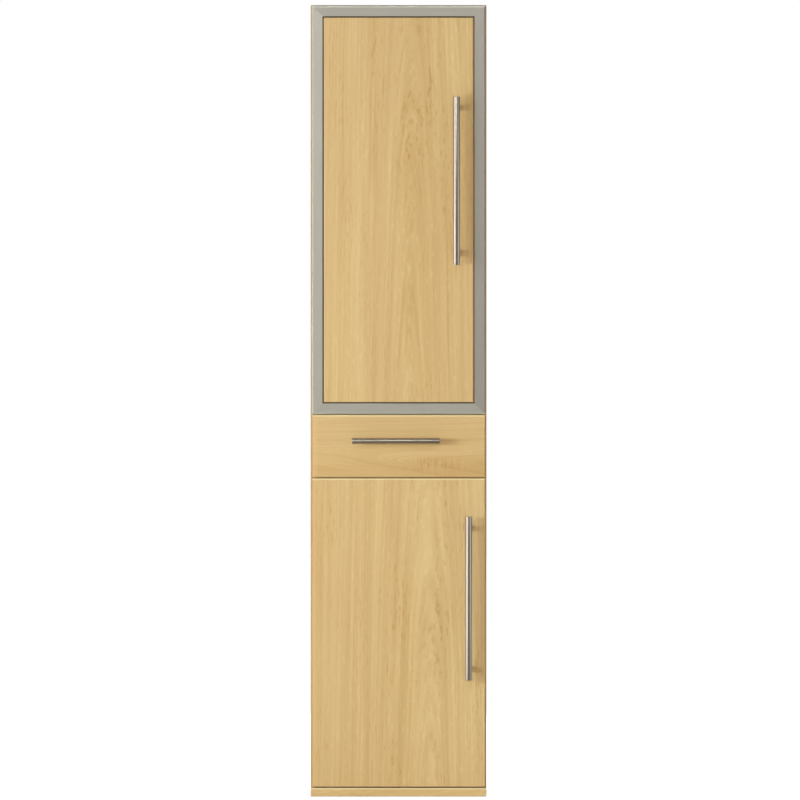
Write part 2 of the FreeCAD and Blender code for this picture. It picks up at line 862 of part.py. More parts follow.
def carcass_runner(hand):
    """Fixed runner: a channel of folded sheet that opens towards the drawer, with a roller at its front."""
    y_end = y_carcass + runner_length
    y_floor = y_front_roller + roller_radius + runner_end_gap
    web = block(runner_x(hand, 0), runner_x(hand, runner_sheet), y_carcass, y_end,
                z_runner, z_ceiling + runner_sheet)
    floor = block(runner_x(hand, 0), runner_x(hand, runner_reach), y_floor, y_end,
                  z_runner, z_runner + runner_sheet)
    ceiling = block(runner_x(hand, 0), runner_x(hand, runner_reach), y_carcass, y_end,
                    z_ceiling, z_ceiling + runner_sheet)
    lip = block(runner_x(hand, runner_reach - runner_sheet), runner_x(hand, runner_reach),
                y_floor, y_end, z_runner, z_runner + runner_lip)
    web_face = runner_x(hand, runner_sheet)
    pieces = [web, floor, ceiling, lip] + axle(web_face, X_AXIS * -hand, y_front_roller, z_front_roller)
    return joined(pieces).cut(runner_screws(hand, screw_play))


def slide_screws(hand, play=0.0):
    z = z_box + box_bottom_rise + box_bottom_thickness + wood_screw_head_radius + slide_screw_rise
    x = runner_x(hand, box_side_clearance - runner_sheet)
    stations = (y_front_back + slide_screw_front_inset, y_rear_roller - slide_screw_rear_inset)
    return [wood_screw(point(x, y, z), X_AXIS * -hand, play) for y in stations]


def drawer_slide(hand):
    """Moving runner: an angle under the drawer side, with a track flange and a roller at its rear."""
    inner = box_side_clearance
    outer = inner - runner_sheet
    y_start = y_front_back + slide_front_gap
    z_low = z_box - runner_sheet
    z_top = z_track + runner_sheet
    web = block(runner_x(hand, outer), runner_x(hand, inner), y_start, y_box_rear, z_low, z_top)
    foot = block(runner_x(hand, outer), runner_x(hand, inner + box_board), y_start, y_box_rear, z_low, z_box)
    track_end = y_rear_roller - roller_radius - track_end_gap
    track = block(runner_x(hand, 2 * runner_sheet), runner_x(hand, outer), y_start, track_end,
                  z_track, z_top)
    web_face = runner_x(hand, outer)
    pieces = [web, foot, track] + axle(web_face, X_AXIS * hand, y_rear_roller, z_rear_roller)
    return joined(pieces).cut(slide_screws(hand, screw_play))


def roller(hand, y, z):
    """A plastic roller, free on its axle."""
    start = point(runner_x(hand, roller_from_side), y, z)
    way = X_AXIS * -hand
    bore = rod(start, way, axle_radius + roller_play, roller_width)
    return rod(start, way, roller_radius, roller_width).cut(bore)


# ---------------------------------------------------------------- bumpers
def bumpers():
    """Soft stops on the carcass edges: two behind each door at its free side, two behind the drawer."""
    x = x_inner + side_thickness / 2
    places = []
    for low, high in ((z_lower_door, z_lower_door_top), (z_upper_door, z_upper_door_top)):
        places += [(x, low + bumper_from_corner), (x, high - bumper_from_corner)]
    middle = (z_drawer + z_drawer_top) / 2
    places += [(x, middle), (-x, middle)]
    height = door_standoff - bumper_gap
    starts = [point(px, y_carcass, pz) for px, pz in places]
    return [stud(start, Y_AXIS * -1, bumper_radius, height, cam_sides) for start in starts]


# ---------------------------------------------------------------- the whole cabinet
def carcass_nodes():
    arm_fixings = []
    plate_fixings = []
    plate_holes = []
    for level in hinge_levels:
        arm_fixings += [at_hinge(arm_screw(station), level) for station in arm_screw_stations()]
        plate_fixings += [at_hinge(wood_screw(place, X_AXIS * -1), level) for place in plate_screw_places()]
        plate_holes += [at_hinge(wood_screw(place, X_AXIS * -1, screw_play), level)
                        for place in plate_screw_places()]
    fittings = fitting_holes()
    screw_holes = plate_holes + runner_screws(-1, screw_play) + runner_screws(1, screw_play)
    side_tools = fittings + pin_holes() + screw_holes
    high, middle, low = shelf_levels()
    nodes = {
        "base_panel": base_panel(fittings),
        "side_panel_left": side_panel(-1, side_tools),
        "side_panel_right": side_panel(1, side_tools),
        "top_panel": top_panel(fittings),
        "upper_divider": divider(z_upper_divider, fittings),
        "lower_divider": divider(z_lower_divider, fittings),
        "wall_rail": wall_rail(fittings),
        "back_panel": back_panel(),
        "shelf_high": shelf(high),
        "shelf_middle": shelf(middle),
        "shelf_low": shelf(low),
        "shelf_pins": [shelf_pin(*place) for place in pin_places()],
        "cam_locks": [cam_lock(joint, 0.0) for joint in cam_joints()],
        "cam_bolts": [cam_bolt(joint, 0.0) for joint in cam_joints()],
        "dowels": [dowel(joint, 0.0) for joint in dowel_joints()],
        "runner_left": carcass_runner(-1),
        "runner_right": carcass_runner(1),
        "hinge_plates": [at_hinge(hinge_plate(), level) for level in hinge_levels],
        "arm_screws": arm_fixings,
        "carcass_screws": plate_fixings + runner_screws(-1) + runner_screws(1),
        "bumpers": bumpers(),
    }
    places = ("lower_bottom", "lower_top", "upper_bottom", "upper_top")
    for place, level in zip(places, hinge_levels):
        nodes["hinge_arm_" + place] = at_hinge(hinge_arm(), level)
    return nodes


def upper_door_nodes():
    hinge_side, handle_side, bottom, top = frame_members()
    low, high = upper_hinge_levels
    screws = [at_hinge(wood_screw(place, Y_AXIS * -1), level)
              for level in upper_hinge_levels for place in housing_screw_places()]
    return {
        "frame_hinge_stile": hinge_stile(hinge_side),
        "frame_handle_stile": handle_side,
        "frame_bottom_rail": bottom,
        "frame_top_rail": top,
        "frame_corner_keys": corner_keys(),
        "upper_door_panel": upper_door_panel(),
        "hinge_housing_bottom": at_hinge(hinge_housing(), low),
        "hinge_housing_top": at_hinge(hinge_housing(), high),
        "upper_hinge_pins": [at_hinge(hinge_pin(), level) for level in upper_hinge_levels],
        "upper_hinge_screws": screws,
        "upper_handle_bar": upper_handle.bar(),
        "upper_handle_posts": upper_handle.posts(),
        "upper_handle_screws": upper_handle.screws(),
    }


def lower_door_nodes():
    low, high = lower_hinge_levels
    screws = [at_hinge(wood_screw(place, Y_AXIS * -1), level)
              for level in lower_hinge_levels for place in cup_screw_places()]
    return {
        "lower_door": lower_door(),
        "hinge_cup_bottom": at_hinge(hinge_cup(), low),
        "hinge_cup_top": at_hinge(hinge_cup(), high),
        "lower_hinge_pins": [at_hinge(hinge_pin(), level) for level in lower_hinge_levels],
        "lower_hinge_screws": screws,
        "lower_handle_bar": lower_handle.bar(),
        "lower_handle_posts": lower_handle.posts(),
        "lower_handle_screws": lower_handle.screws(),
    }


def drawer_nodes():
    return {
        "drawer_front": drawer_front(),
        "drawer_side_left": drawer_side(-1, slide_screws(-1, screw_play)),
        "drawer_side_right": drawer_side(1, slide_screws(1, screw_play)),
        "drawer_back": drawer_back(),
        "drawer_bottom": bottom_sheet(0.0),
        "drawer_slide_left": drawer_slide(-1),
        "drawer_slide_right": drawer_slide(1),
        "drawer_slide_screws": slide_screws(-1) + slide_screws(1),
        "drawer_handle_bar": drawer_handle.bar(),
        "drawer_handle_posts": drawer_handle.posts(),
        "drawer_handle_screws": drawer_handle.screws(),
    }


def roller_nodes():
    return {
        "front_rollers": [roller(hand, y_front_roller, z_front_roller) for hand in (-1, 1)],
        "rear_rollers": [roller(hand, y_rear_roller, z_rear_roller) for hand in (-1, 1)],
    }


def export(nodes):
    os.makedirs("parts", exist_ok=True)
    for name, shape in nodes.items():
        if isinstance(shape, list):
            shape = Part.makeCompound(shape)
        shape.exportStep("parts/" + name + ".step")


def main():
    for group in (carcass_nodes(), upper_door_nodes(), lower_door_nodes(), drawer_nodes(), roller_nodes()):
        export(group)


main()
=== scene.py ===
"""Looks of the tall bathroom cabinet, laid out as a Blender add-on and run as a script."""

import math

import bmesh
import bpy
from bpy.props import FloatProperty, FloatVectorProperty, PointerProperty
from mathutils import Matrix, Vector


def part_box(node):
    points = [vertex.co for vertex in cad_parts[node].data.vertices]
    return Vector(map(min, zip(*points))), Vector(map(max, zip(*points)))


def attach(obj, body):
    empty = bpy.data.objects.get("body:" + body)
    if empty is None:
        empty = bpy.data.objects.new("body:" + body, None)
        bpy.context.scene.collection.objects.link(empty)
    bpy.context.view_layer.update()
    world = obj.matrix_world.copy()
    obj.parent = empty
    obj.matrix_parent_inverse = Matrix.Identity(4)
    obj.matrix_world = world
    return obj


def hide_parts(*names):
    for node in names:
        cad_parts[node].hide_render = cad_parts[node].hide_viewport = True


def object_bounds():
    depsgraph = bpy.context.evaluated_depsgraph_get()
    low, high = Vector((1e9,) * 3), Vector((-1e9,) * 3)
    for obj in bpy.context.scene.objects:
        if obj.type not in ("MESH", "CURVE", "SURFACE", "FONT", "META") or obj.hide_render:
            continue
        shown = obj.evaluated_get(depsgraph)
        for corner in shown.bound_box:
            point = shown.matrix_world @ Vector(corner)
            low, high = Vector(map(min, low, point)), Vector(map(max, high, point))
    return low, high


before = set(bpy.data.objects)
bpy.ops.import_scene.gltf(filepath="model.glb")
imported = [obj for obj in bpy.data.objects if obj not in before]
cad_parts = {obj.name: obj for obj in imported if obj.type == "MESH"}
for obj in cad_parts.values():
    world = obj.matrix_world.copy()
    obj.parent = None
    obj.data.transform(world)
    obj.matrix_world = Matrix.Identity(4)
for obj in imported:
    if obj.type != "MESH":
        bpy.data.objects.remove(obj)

bl_info = {
    "name": "Tall Cabinet Looks",
    "version": (1, 0, 0),
    "blender": (4, 5, 0),
    "location": "View3D > Sidebar > Cabinet",
    "description": "Oak fronts, door frame, handles and fittings of a tall bathroom cabinet",
    "category": "Object",
}

CAD_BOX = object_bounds()

# What each CAD node is made of.
SLOT_NODES = {
    "oak_board": ("side_panel_left", "side_panel_right", "top_panel", "upper_divider",
                  "lower_divider", "wall_rail", "shelf_high", "shelf_middle", "shelf_low"),
    "back_board": ("back_panel", "drawer_bottom"),
    "beech_board": ("drawer_side_left", "drawer_side_right", "drawer_back"),
    "beech_dowel": ("dowels",),
    "cast_zinc": ("hinge_housing_bottom", "hinge_housing_top", "frame_corner_keys",
                  "hinge_plates"),
    "hinge_steel": ("hinge_cup_bottom", "hinge_cup_top", "upper_hinge_pins", "lower_hinge_pins",
                    "hinge_arm_lower_bottom", "hinge_arm_lower_top", "hinge_arm_upper_bottom",
                    "hinge_arm_upper_top"),
    "screw_steel": ("cam_bolts",),
    "runner_paint": ("runner_left", "runner_right", "drawer_slide_left", "drawer_slide_right"),
    "roller_plastic": ("front_rollers", "rear_rollers"),
}

# Directions, and how squarely a face looks along one to count as facing it.
UP = Vector((0, 0, 1))
RIGHT = Vector((1, 0, 0))
FACING = 0.9
FLAT = 0.99

# Sides of the round pieces, the sharpest edge that is shaded smooth, and how near is the same.
SCREW_SIDES = 24
FITTING_SIDES = 32
POST_SIDES = 48
BAR_SIDES = 64
SMOOTH_ANGLE = math.radians(35)
SAME_POINT = 1e-6

# Round shapes, as steps of a part of the length and a part of the radius.
SCREW_DOME = ((0.1, 0.66), (0.2, 0.88), (0.25, 1.0), (0.45, 1.0))
BUMPER_DOME = ((0.5, 1.0), (0.22, 0.92), (0.18, 0.7), (0.1, 0.38))
PIN_END = ((0.6, 0.9), (0.4, 0.62))
SCREW_TIP = 0.4

# Shelf pins: how much of one is in the side panel, its waist, and the groove's width in noses.
PIN_SEAT = 0.56
PIN_WAIST = 0.86
PIN_GROOVE = 0.5

# Cams: the raised middle's height and distance from the edge, in widths of the rim.
CAM_MIDDLE_HEIGHT = 0.2
CAM_MIDDLE_INSET = 2.6

# Cross recesses: their reach in radii, a screw's depth in heads, a cam's width in screw widths.
SCREW_CROSS_REACH = 0.58
SCREW_CROSS_DEPTH = 0.6
CAM_CROSS_REACH = 0.46
CAM_CROSS_WIDTH = 1.5

# Bars: how far in their ends are dished, in radii, how deep in rims, and the rim's facets.
BAR_DISH_INSET = 0.3
BAR_DISH_DEPTH = 0.25
BAR_RIM_FACETS = 4

# Posts: where in the bar they end, how far they stay under it, and their collar's edges.
POST_IN_BAR = 0.7
POST_UNDER_BAR = 0.001
POST_CHAMFER = 0.25
POST_FILLET = 0.0006

# Soft edges, measured in from a board's edge: full as far as the first, gone at the second.
# Painted warm light down the fronts' left edges.
LEFT_LIGHT_EDGE = (0.009, 0.014)
# Painted highlight along the fronts' top corners.
CORNER_HIGHLIGHT_EDGE = (0.0024, 0.0042)
REAR_EDGE = (0.0002, 0.0006)
# Painted highlight along the frame's top and foot, painted shade down its left edge.
FRAME_TOP_EDGE = (0.0030, 0.0042)
FRAME_FOOT_EDGE = (0.0022, 0.0034)
FRAME_LEFT_EDGE = (0.0008, 0.0014)
# Painted shade round the fronts' edges.
EDGE_SHADE_WIDTH = 0.0012
EDGE_SHADE_FULL = 0.6
# Painted shade in the gap round the panel.
GAP_SHADE_SOFT = 0.0002

# How strong the painted light and shade and the other marks on the boards and the frame
# are, and how much of them is left on the weaker sides.
STRENGTH = {"blush": 0.3, "left_light": 0.5, "corner": 0.6, "edge_shade": 0.85, "painted_gap_shade": 0.92,
            "frame_foot": 0.5, "frame_left": 0.6}
EDGE_SHADE_RIGHT = 0.35
EDGE_SHADE_FOOT = 0.65
GAP_SHADE_RIGHT = 0.45

# How much each mark of the grain darkens the oak; a glint lightens it. Plain oak has the tone.
GRAIN = {"broad": 0.5, "streak": 0.7, "ring": 1.15, "fine": 0.35, "tick": 0.34, "glint": 0.20,
         "pore": 0.1}
OAK_TONE = 0.42
BASE_TONE = -0.24

# Bands of the figure as a middle and a half width, in metres across the front.
PANEL_DARK = (-0.058, 0.020)
PANEL_PALE = (-0.092, 0.034)
PANEL_PALE_LEFT = (-0.150, 0.020)
LOWER_STREAKS = ((-0.129, 0.018), (-0.012, 0.016), (0.093, 0.026))
DRAWER_FLECKS_ACROSS = (0.085, 0.095)
DRAWER_FLECKS_UP = (0.752, 0.030)

# Rises of the figure from one place to another, in metres up or across the front.
LOWER_FADE = (0.15, 0.65)
LOWER_PALE = (-0.05, 0.19)
DRAWER_DARK = (0.742, 0.784)
DRAWER_SWEEP = (0.755, 0.795)
DRAWER_LEFT = 0.194

# Noise lies round this value, and these are the values where it turns one colour to another.
NOISE_MIDDLE = 0.5
NOISE_TURN = (0.3, 0.7)

# Scratches to the metre along a brushed metal's scratches and across them.
SCRATCH_ALONG = 14
SCRATCH_ACROSS = 2400

# The stage, in metres: what the lamps look at, the floor, and its painted glow in the metal.
AIM = (0, -0.17, 0.9)
FLOOR_SIZE = 60
FLOOR_DROP = 0.0006
FLOOR_GLOW = 0.92
FLOOR_MIRRORED = (0.30, 0.29, 0.27, 1)
MIRROR_LEFT = (-1.1, -0.35)
MIRROR_RIGHT = (0.5, 1.6)
MIRROR_NEAR = (-4.5, -2.5)
MIRROR_GLOW = 1.2
MIRROR_RIGHT_PART = 0.25
SENSOR_WIDTH = 36
CAMERA_REACH = 100
ROOM_TINT = (1, 0.96, 0.90, 1)
WHITE = (1, 1, 1, 1)

# Each lamp's place, width and height, tint, and the rays that pass it by.
LAMPS = (
    ("sheen", (-3.55, -3.0, 1.3), (1.9, 3.9), (1, 1, 1), ("diffuse",)),
    ("key", (-3.55, -3.0, 1.0), (2.3, 0.8), (0.76, 0.92, 1), ("glossy",)),
    ("fill", (3.9, -2.2, 1.1), (1.6, 2.4), (1, 1, 1), ()),
    ("top", (0, -4.6, 2.7), (2.4, 0.6), (1, 0.98, 0.95), ()),
    ("front", (0, -6.5, 0.8), (6, 2.4), (1, 0.81, 0.54), ("glossy",)),
    ("side", (4.2, 1.6, 1.5), (2.4, 2.4), (1, 0.97, 0.92), ("glossy", "camera")),
    ("rear", (-1.2, 4.6, 1.6), (2.4, 2.4), (1, 0.97, 0.92), ("glossy", "camera")),
    ("over", (0.1, 0.3, 3.0), (1.0, 1.0), (1, 0.97, 0.92), ("glossy", "camera")),
)


def linear(red, green, blue):
    """A colour given in the usual 0 to 255 values, as the shaders take it."""
    parts = []
    for level in (red / 255, green / 255, blue / 255):
        parts.append(level / 12.92 if level <= 0.04045 else ((level + 0.055) / 1.055) ** 2.4)
    return tuple(parts)


def toned(colour, factor, most=1.0):
    """A colour made darker or lighter, as far as a limit."""
    return tuple(min(part * factor, most) for part in colour)


# Pale and dark colours of the plain boards and coatings.
BACK_BOARD = (linear(222, 196, 150), linear(206, 176, 128))
BEECH = (linear(228, 206, 166), linear(210, 184, 140))
RUNNER_PAINT = (linear(236, 233, 224), linear(222, 218, 208))
ROLLER_PLASTIC = (linear(240, 238, 230), linear(226, 222, 210))
RUBBER = (linear(226, 225, 220), linear(206, 205, 198))
FLOOR = (linear(246, 246, 246), linear(255, 255, 255))


# ---------------------------------------------------------------- settings
class CabinetWood(bpy.types.PropertyGroup):
    """Colours and grain of the oak boards, and the light and shade painted on the fronts."""

    oak_pale: FloatVectorProperty(
        name="Pale oak", description="Oak between the dark lines of its grain",
        default=linear(228, 196, 138), subtype="COLOR", min=0, max=1)
    oak_dark: FloatVectorProperty(
        name="Dark oak", description="Oak in the dark lines of its grain",
        default=linear(197, 152, 89), subtype="COLOR", min=0, max=1)
    oak_blush: FloatVectorProperty(
        name="Rosy oak", description="The redder patches of the boards",
        default=linear(214, 172, 120), subtype="COLOR", min=0, max=1)
    # Painted warm light down the fronts' left edges, where the light from the left falls on them.
    oak_left_light: FloatVectorProperty(
        name="Lipping", description="Solid oak strip down the left edge of the fronts",
        default=linear(226, 178, 122), subtype="COLOR", min=0, max=1)
    # Painted shade of the narrow gaps beside the fronts, a thin dark line round them, darkest at
    # the left.
    oak_edge_shade: FloatVectorProperty(
        name="Seam", description="Thin dark line where a front's edge meets its face",
        default=linear(120, 92, 54), subtype="COLOR", min=0, max=1)
    # Painted highlight along the fronts' rounded top corners, where light from above falls on
    # them.
    oak_corner_highlight: FloatVectorProperty(
        name="Corner", description="Paler oak where a front's top corner is rounded",
        default=linear(250, 228, 180), subtype="COLOR", min=0, max=1)
    # Painted shade in the gap round the panel, lighter at its right.
    panel_gap_shade: FloatVectorProperty(
        name="Seal", description="Dark seal between the panel and its frame",
        default=linear(80, 70, 60), subtype="COLOR", min=0, max=1)
    board_raw: FloatVectorProperty(
        name="Raw board", description="Particle board on cut rear edges",
        default=linear(176, 146, 106), subtype="COLOR", min=0, max=1)
    panel_gap: FloatProperty(
        name="Panel gap", description="Width of the gap between the panel and its frame",
        default=0.003, unit="LENGTH", min=0)
    pith_depth: FloatProperty(
        name="Pith depth", description="How far the log's middle lies behind the board",
        default=0.05, unit="LENGTH", min=0)
    pith_tilt: FloatProperty(
        name="Pith tilt", description="How fast the log's middle leaves the board along it",
        default=0.045, min=0)


class CabinetMetal(bpy.types.PropertyGroup):
    """Colours of the metal pieces and shapes of the bars and posts."""

    frame_grey: FloatVectorProperty(
        name="Frame", description="Satin anodised aluminium of the door's frame",
        default=linear(208, 202, 191), subtype="COLOR", min=0, max=1)
    bar_steel: FloatVectorProperty(
        name="Bars", description="Brushed steel of the three bars",
        default=linear(204, 194, 180), subtype="COLOR", min=0, max=1)
    nickel: FloatVectorProperty(
        name="Nickel", description="Nickel on the hinges and screws",
        default=linear(205, 203, 198), subtype="COLOR", min=0, max=1)
    bar_rim: FloatProperty(
        name="Bar rim", description="Rounding at the ends of the bars",
        default=0.0009, unit="LENGTH", min=0)
    post_foot: FloatProperty(
        name="Post foot", description="Height of the collar at the foot of each post",
        default=0.0024, unit="LENGTH", min=0)
    post_collar: FloatProperty(
        name="Post collar", description="How far the collar stands out round its post's core",
        default=0.003, unit="LENGTH", min=0)
    post_swell: FloatProperty(
        name="Post swell", description="How much thicker a post is than its core",
        default=0.0018, unit="LENGTH", min=0)


class CabinetFittings(bpy.types.PropertyGroup):
    """Shapes of the screws, cams and pins."""

    head_height: FloatProperty(
        name="Head height", description="Height of a small screw's head",
        default=0.0012, unit="LENGTH", min=0)
    handle_head_height: FloatProperty(
        name="Handle screw head", description="Height of a handle screw's head",
        default=0.0024, unit="LENGTH", min=0)
    shank: FloatProperty(
        name="Shank", description="Radius of a screw's shank, as a part of its head's radius",
        default=0.52, min=0.1, max=1)
    recess_width: FloatProperty(
        name="Recess width", description="Width of one arm of a screw's cross recess",
        default=0.0011, unit="LENGTH", min=0)
    cam_recess: FloatProperty(
        name="Cam recess", description="Depth of the cross recess in a cam",
        default=0.0026, unit="LENGTH", min=0)
    cam_rim: FloatProperty(
        name="Cam rim", description="Chamfer round the face of a cam",
        default=0.0005, unit="LENGTH", min=0)
    pin_nose: FloatProperty(
        name="Pin nose", description="Rounding at the end of a shelf pin",
        default=0.0012, unit="LENGTH", min=0)


class CabinetStudio(bpy.types.PropertyGroup):
    """Camera and lights."""

    lens: FloatProperty(
        name="Lens", description="Focal length in millimetres on a 36 mm sensor",
        default=392.6, min=20)
    distance: FloatProperty(
        name="Distance", description="How far the camera stands in front of the cabinet's middle",
        default=20.0, unit="LENGTH", min=1)
    camera_side: FloatProperty(
        name="Camera side", description="How far the camera stands to the right",
        default=0.0033, unit="LENGTH")
    camera_height: FloatProperty(
        name="Camera height", description="Height of the camera over the floor",
        default=0.9015, unit="LENGTH")
    room_light: FloatProperty(
        name="Room light", description="Even light from all round", default=0.20, min=0)
    key_power: FloatProperty(
        name="Key light", description="Power of the light at the left", default=161, min=0)
    sheen_power: FloatProperty(
        name="Sheen", description="Power of the light at the left that only the metal mirrors",
        default=84, min=0)
    front_power: FloatProperty(
        name="Front light", description="Power of the wide soft light in front",
        default=67, min=0)
    fill_power: FloatProperty(
        name="Fill light", description="Power of the light at the right", default=16, min=0)
    top_power: FloatProperty(
        name="Top light", description="Power of the light over the camera", default=26, min=0)
    side_power: FloatProperty(
        name="Side light", description="Power of the light at the right, behind the fronts",
        default=80, min=0)
    rear_power: FloatProperty(
        name="Rear light", description="Power of the light behind", default=70, min=0)
    over_power: FloatProperty(
        name="Overhead light", description="Power of the light over the top", default=6, min=0)


# ---------------------------------------------------------------- shaders
class Socket:
    """An output in a node tree, with arithmetic written as expressions."""

    def __init__(self, nodes, output):
        self.nodes = nodes
        self.output = output

    def math(self, operation, *values):
        return self.nodes.node("ShaderNodeMath", {"operation": operation}, dict(enumerate(values)))

    def __add__(self, other):
        return self.math("ADD", self, other)

    def __sub__(self, other):
        return self.math("SUBTRACT", self, other)

    def __rsub__(self, other):
        return self.math("SUBTRACT", other, self)

    def __mul__(self, other):
        return self.math("MULTIPLY", self, other)

    def __pow__(self, other):
        return self.math("POWER", self, other)

    __radd__ = __add__
    __rmul__ = __mul__

    def step(self, low, high):
        """0 below low, 1 above high, and a smooth rise between them."""
        values = {"Value": self, "From Min": low, "From Max": high}
        return self.nodes.node("ShaderNodeMapRange", {"interpolation_type": "SMOOTHSTEP"}, values)


class Nodes:
    """A node tree, and the one way of adding to it."""

    def __init__(self, tree):
        self.tree = tree

    def node(self, kind, settings, values, output=0):
        """Add a node: its settings first, then the values or links of its sockets."""
        made = self.tree.nodes.new(kind)
        for key, value in settings.items():
            setattr(made, key, value)
        for key, value in values.items():
            self.feed(made.inputs[key], value)
        return Socket(self, made.outputs[output])

    def feed(self, target, value):
        """Give a socket its link or its value."""
        if isinstance(value, Socket):
            self.tree.links.new(value.output, target)
        else:
            target.default_value = value


class Finish(Nodes):
    """One material, made of nodes round a single shader."""

    def __init__(self, name):
        self.material = bpy.data.materials.new(name)
        self.material.use_nodes = True
        super().__init__(self.material.node_tree)
        self.shader = self.tree.nodes["Principled BSDF"]
        self.place = self.node("ShaderNodeTexCoord", {}, {}, "Object")
        parts = self.node("ShaderNodeSeparateXYZ", {}, {"Vector": self.place})
        axes = parts.output.node.outputs
        self.x, self.y, self.z = (Socket(self, axes[axis]) for axis in "XYZ")

    def vector(self, x, y, z):
        return self.node("ShaderNodeCombineXYZ", {}, {"X": x, "Y": y, "Z": z})

    def noise(self, vector, scale=1.0, detail=2.0, roughness=0.5):
        values = {"Vector": vector, "Scale": scale, "Detail": detail, "Roughness": roughness}
        return self.node("ShaderNodeTexNoise", {}, values, "Fac")

    def mix(self, amount, first, second):
        """A colour between two others."""
        colours = []
        for colour in (first, second):
            colours.append(colour if isinstance(colour, Socket) else (*colour, 1))
        values = {0: amount, 6: colours[0], 7: colours[1]}
        return self.node("ShaderNodeMix", {"data_type": "RGBA"}, values, 2)

    def bump(self, height, strength, distance):
        values = {"Height": height, "Strength": strength, "Distance": distance}
        self.set("Normal", self.node("ShaderNodeBump", {}, values))

    def tint(self, amount, colour):
        """Lay a colour over the one that the surface has."""
        self.colour = self.mix(amount, self.colour, colour)
        self.set("Base Color", self.colour)

    def set(self, name, value):
        """Give the shader one of its values, or what makes that value change over the surface."""
        self.feed(self.shader.inputs[name], value)


def band(value, middle, half):
    """1 at a middle value, falling softly to 0 at half to either side."""
    return value.step(middle - half, middle) * (1 - value.step(middle, middle + half))


def near_low(value, edge, full, gone):
    """1 as far as full from a low edge, falling softly to 0 at gone."""
    return 1 - value.step(edge + full, edge + gone)


def near_high(value, edge, full, gone):
    """1 as far as full from a high edge, falling softly to 0 at gone."""
    return value.step(edge - gone, edge - full)


class Log:
    """Where a point of a board lies in the log that it was cut from."""

    def __init__(self, finish, wood, grain, apex, seed, bend, deep):
        self.finish = finish
        self.seed = seed
        self.along = finish.x if grain == "x" else finish.z
        self.across = finish.z if grain == "x" else finish.x
        if deep:
            self.across = self.across + finish.y
        middle, level = apex
        flow = finish.vector(self.across * 7 + seed, finish.y * 7, self.along * 0.9)
        sway = finish.noise(flow, detail=3.0, roughness=0.55) - NOISE_MIDDLE
        side = self.across - middle + sway * 0.035
        if bend:
            side = side + bend(finish)
        inward = wood.pith_depth + (self.along - level) * wood.pith_tilt + sway * 0.012
        self.radius = (side * side + inward * inward) ** 0.5
        self.turn = finish.node("ShaderNodeMath", {"operation": "ARCTAN2"}, {0: side, 1: inward})

    def lines(self, across, along, turn=1.5, detail=3.0, roughness=0.55, shift=0.0):
        """Streaks that follow the log, so many to the metre across it and along it."""
        outward = self.radius * across + self.seed + shift
        place = self.finish.vector(outward, self.turn * turn, self.along * along)
        return self.finish.noise(place, 1.0, detail, roughness)

    def straight(self, across, along, detail=2.0, roughness=0.5, shift=0.0):
        """Streaks that run straight along the board, so many to the metre."""
        sideways = self.across * across + self.seed + shift
        place = self.finish.vector(sideways, self.finish.y * across, self.along * along)
        return self.finish.noise(place, 1.0, detail, roughness)

    def ticks(self, across, shift):
        """Short marks that lie across the rings."""
        return self.lines(across, 40, turn=6.0, detail=2.0, roughness=0.5, shift=shift)

    def bundles(self, across, along):
        """Groups of fine dark streaks."""
        streaks = self.lines(across, along, turn=2.0, detail=2.0, roughness=0.6, shift=29.0)
        return streaks.step(0.42, 0.6)


def oak(name, wood, grain, apex, seed, figure=1.0, bend=None, shade=None, deep=False):
    """Lacquered oak. grain is the axis that it runs along; apex is where its arches close.

    A deep board shows faces that run back into the cabinet, so its grain crosses them too.
    """
    finish = Finish(name)
    log = Log(finish, wood, grain, apex, seed, bend, deep)
    broad = log.straight(15, 0.6) - NOISE_MIDDLE
    streak = log.lines(70, 1.6) - NOISE_MIDDLE
    ring = log.lines(250, 1.1, turn=0.8, detail=4.0, roughness=0.6) - NOISE_MIDDLE
    fine = log.straight(760, 11, roughness=0.6)
    patchy = log.straight(22, 3.5, shift=41.0).step(0.42, 0.62)
    tick = log.ticks(340, 7.0).step(0.54, 0.66) * patchy
    glint = log.ticks(300, 19.0).step(0.56, 0.68) * (1 - patchy)
    pore = 1 - log.straight(2600, 60, detail=1.0, shift=3.0).step(0.28, 0.38)
    amount = broad * GRAIN["broad"] + streak * GRAIN["streak"] + ring * GRAIN["ring"]
    amount = amount + (fine - NOISE_MIDDLE) * GRAIN["fine"] + tick * (GRAIN["tick"] * figure)
    amount = amount - glint * (GRAIN["glint"] * figure) + pore * GRAIN["pore"] + OAK_TONE
    if shade:
        amount = amount + shade(finish, log)
    limit = finish.node("ShaderNodeClamp", {}, {"Value": amount})
    finish.colour = finish.mix(limit, wood.oak_pale, wood.oak_dark)
    blush = log.straight(11, 1.3, shift=67.0).step(0.42, 0.66)
    finish.tint(blush * STRENGTH["blush"], wood.oak_blush)
    finish.set("Roughness", 0.44 + fine * 0.14)
    finish.set("Coat Weight", 0.12)
    finish.set("Coat Roughness", 0.35)
    finish.bump(fine * 0.6 - pore * 0.8, 0.18, 0.0003)
    return finish


def edge_shade(finish, node):
    """How dark the painted shade round a front's edges is: most at the left, less at its foot and
    right.
    """
    low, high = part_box(node)
    full = EDGE_SHADE_WIDTH * EDGE_SHADE_FULL
    left = near_low(finish.x, low.x, full, EDGE_SHADE_WIDTH)
    right = near_high(finish.x, high.x, full, EDGE_SHADE_WIDTH)
    foot = near_low(finish.z, low.z, full, EDGE_SHADE_WIDTH)
    return 1 - (1 - left) * (1 - right * EDGE_SHADE_RIGHT) * (1 - foot * EDGE_SHADE_FOOT)


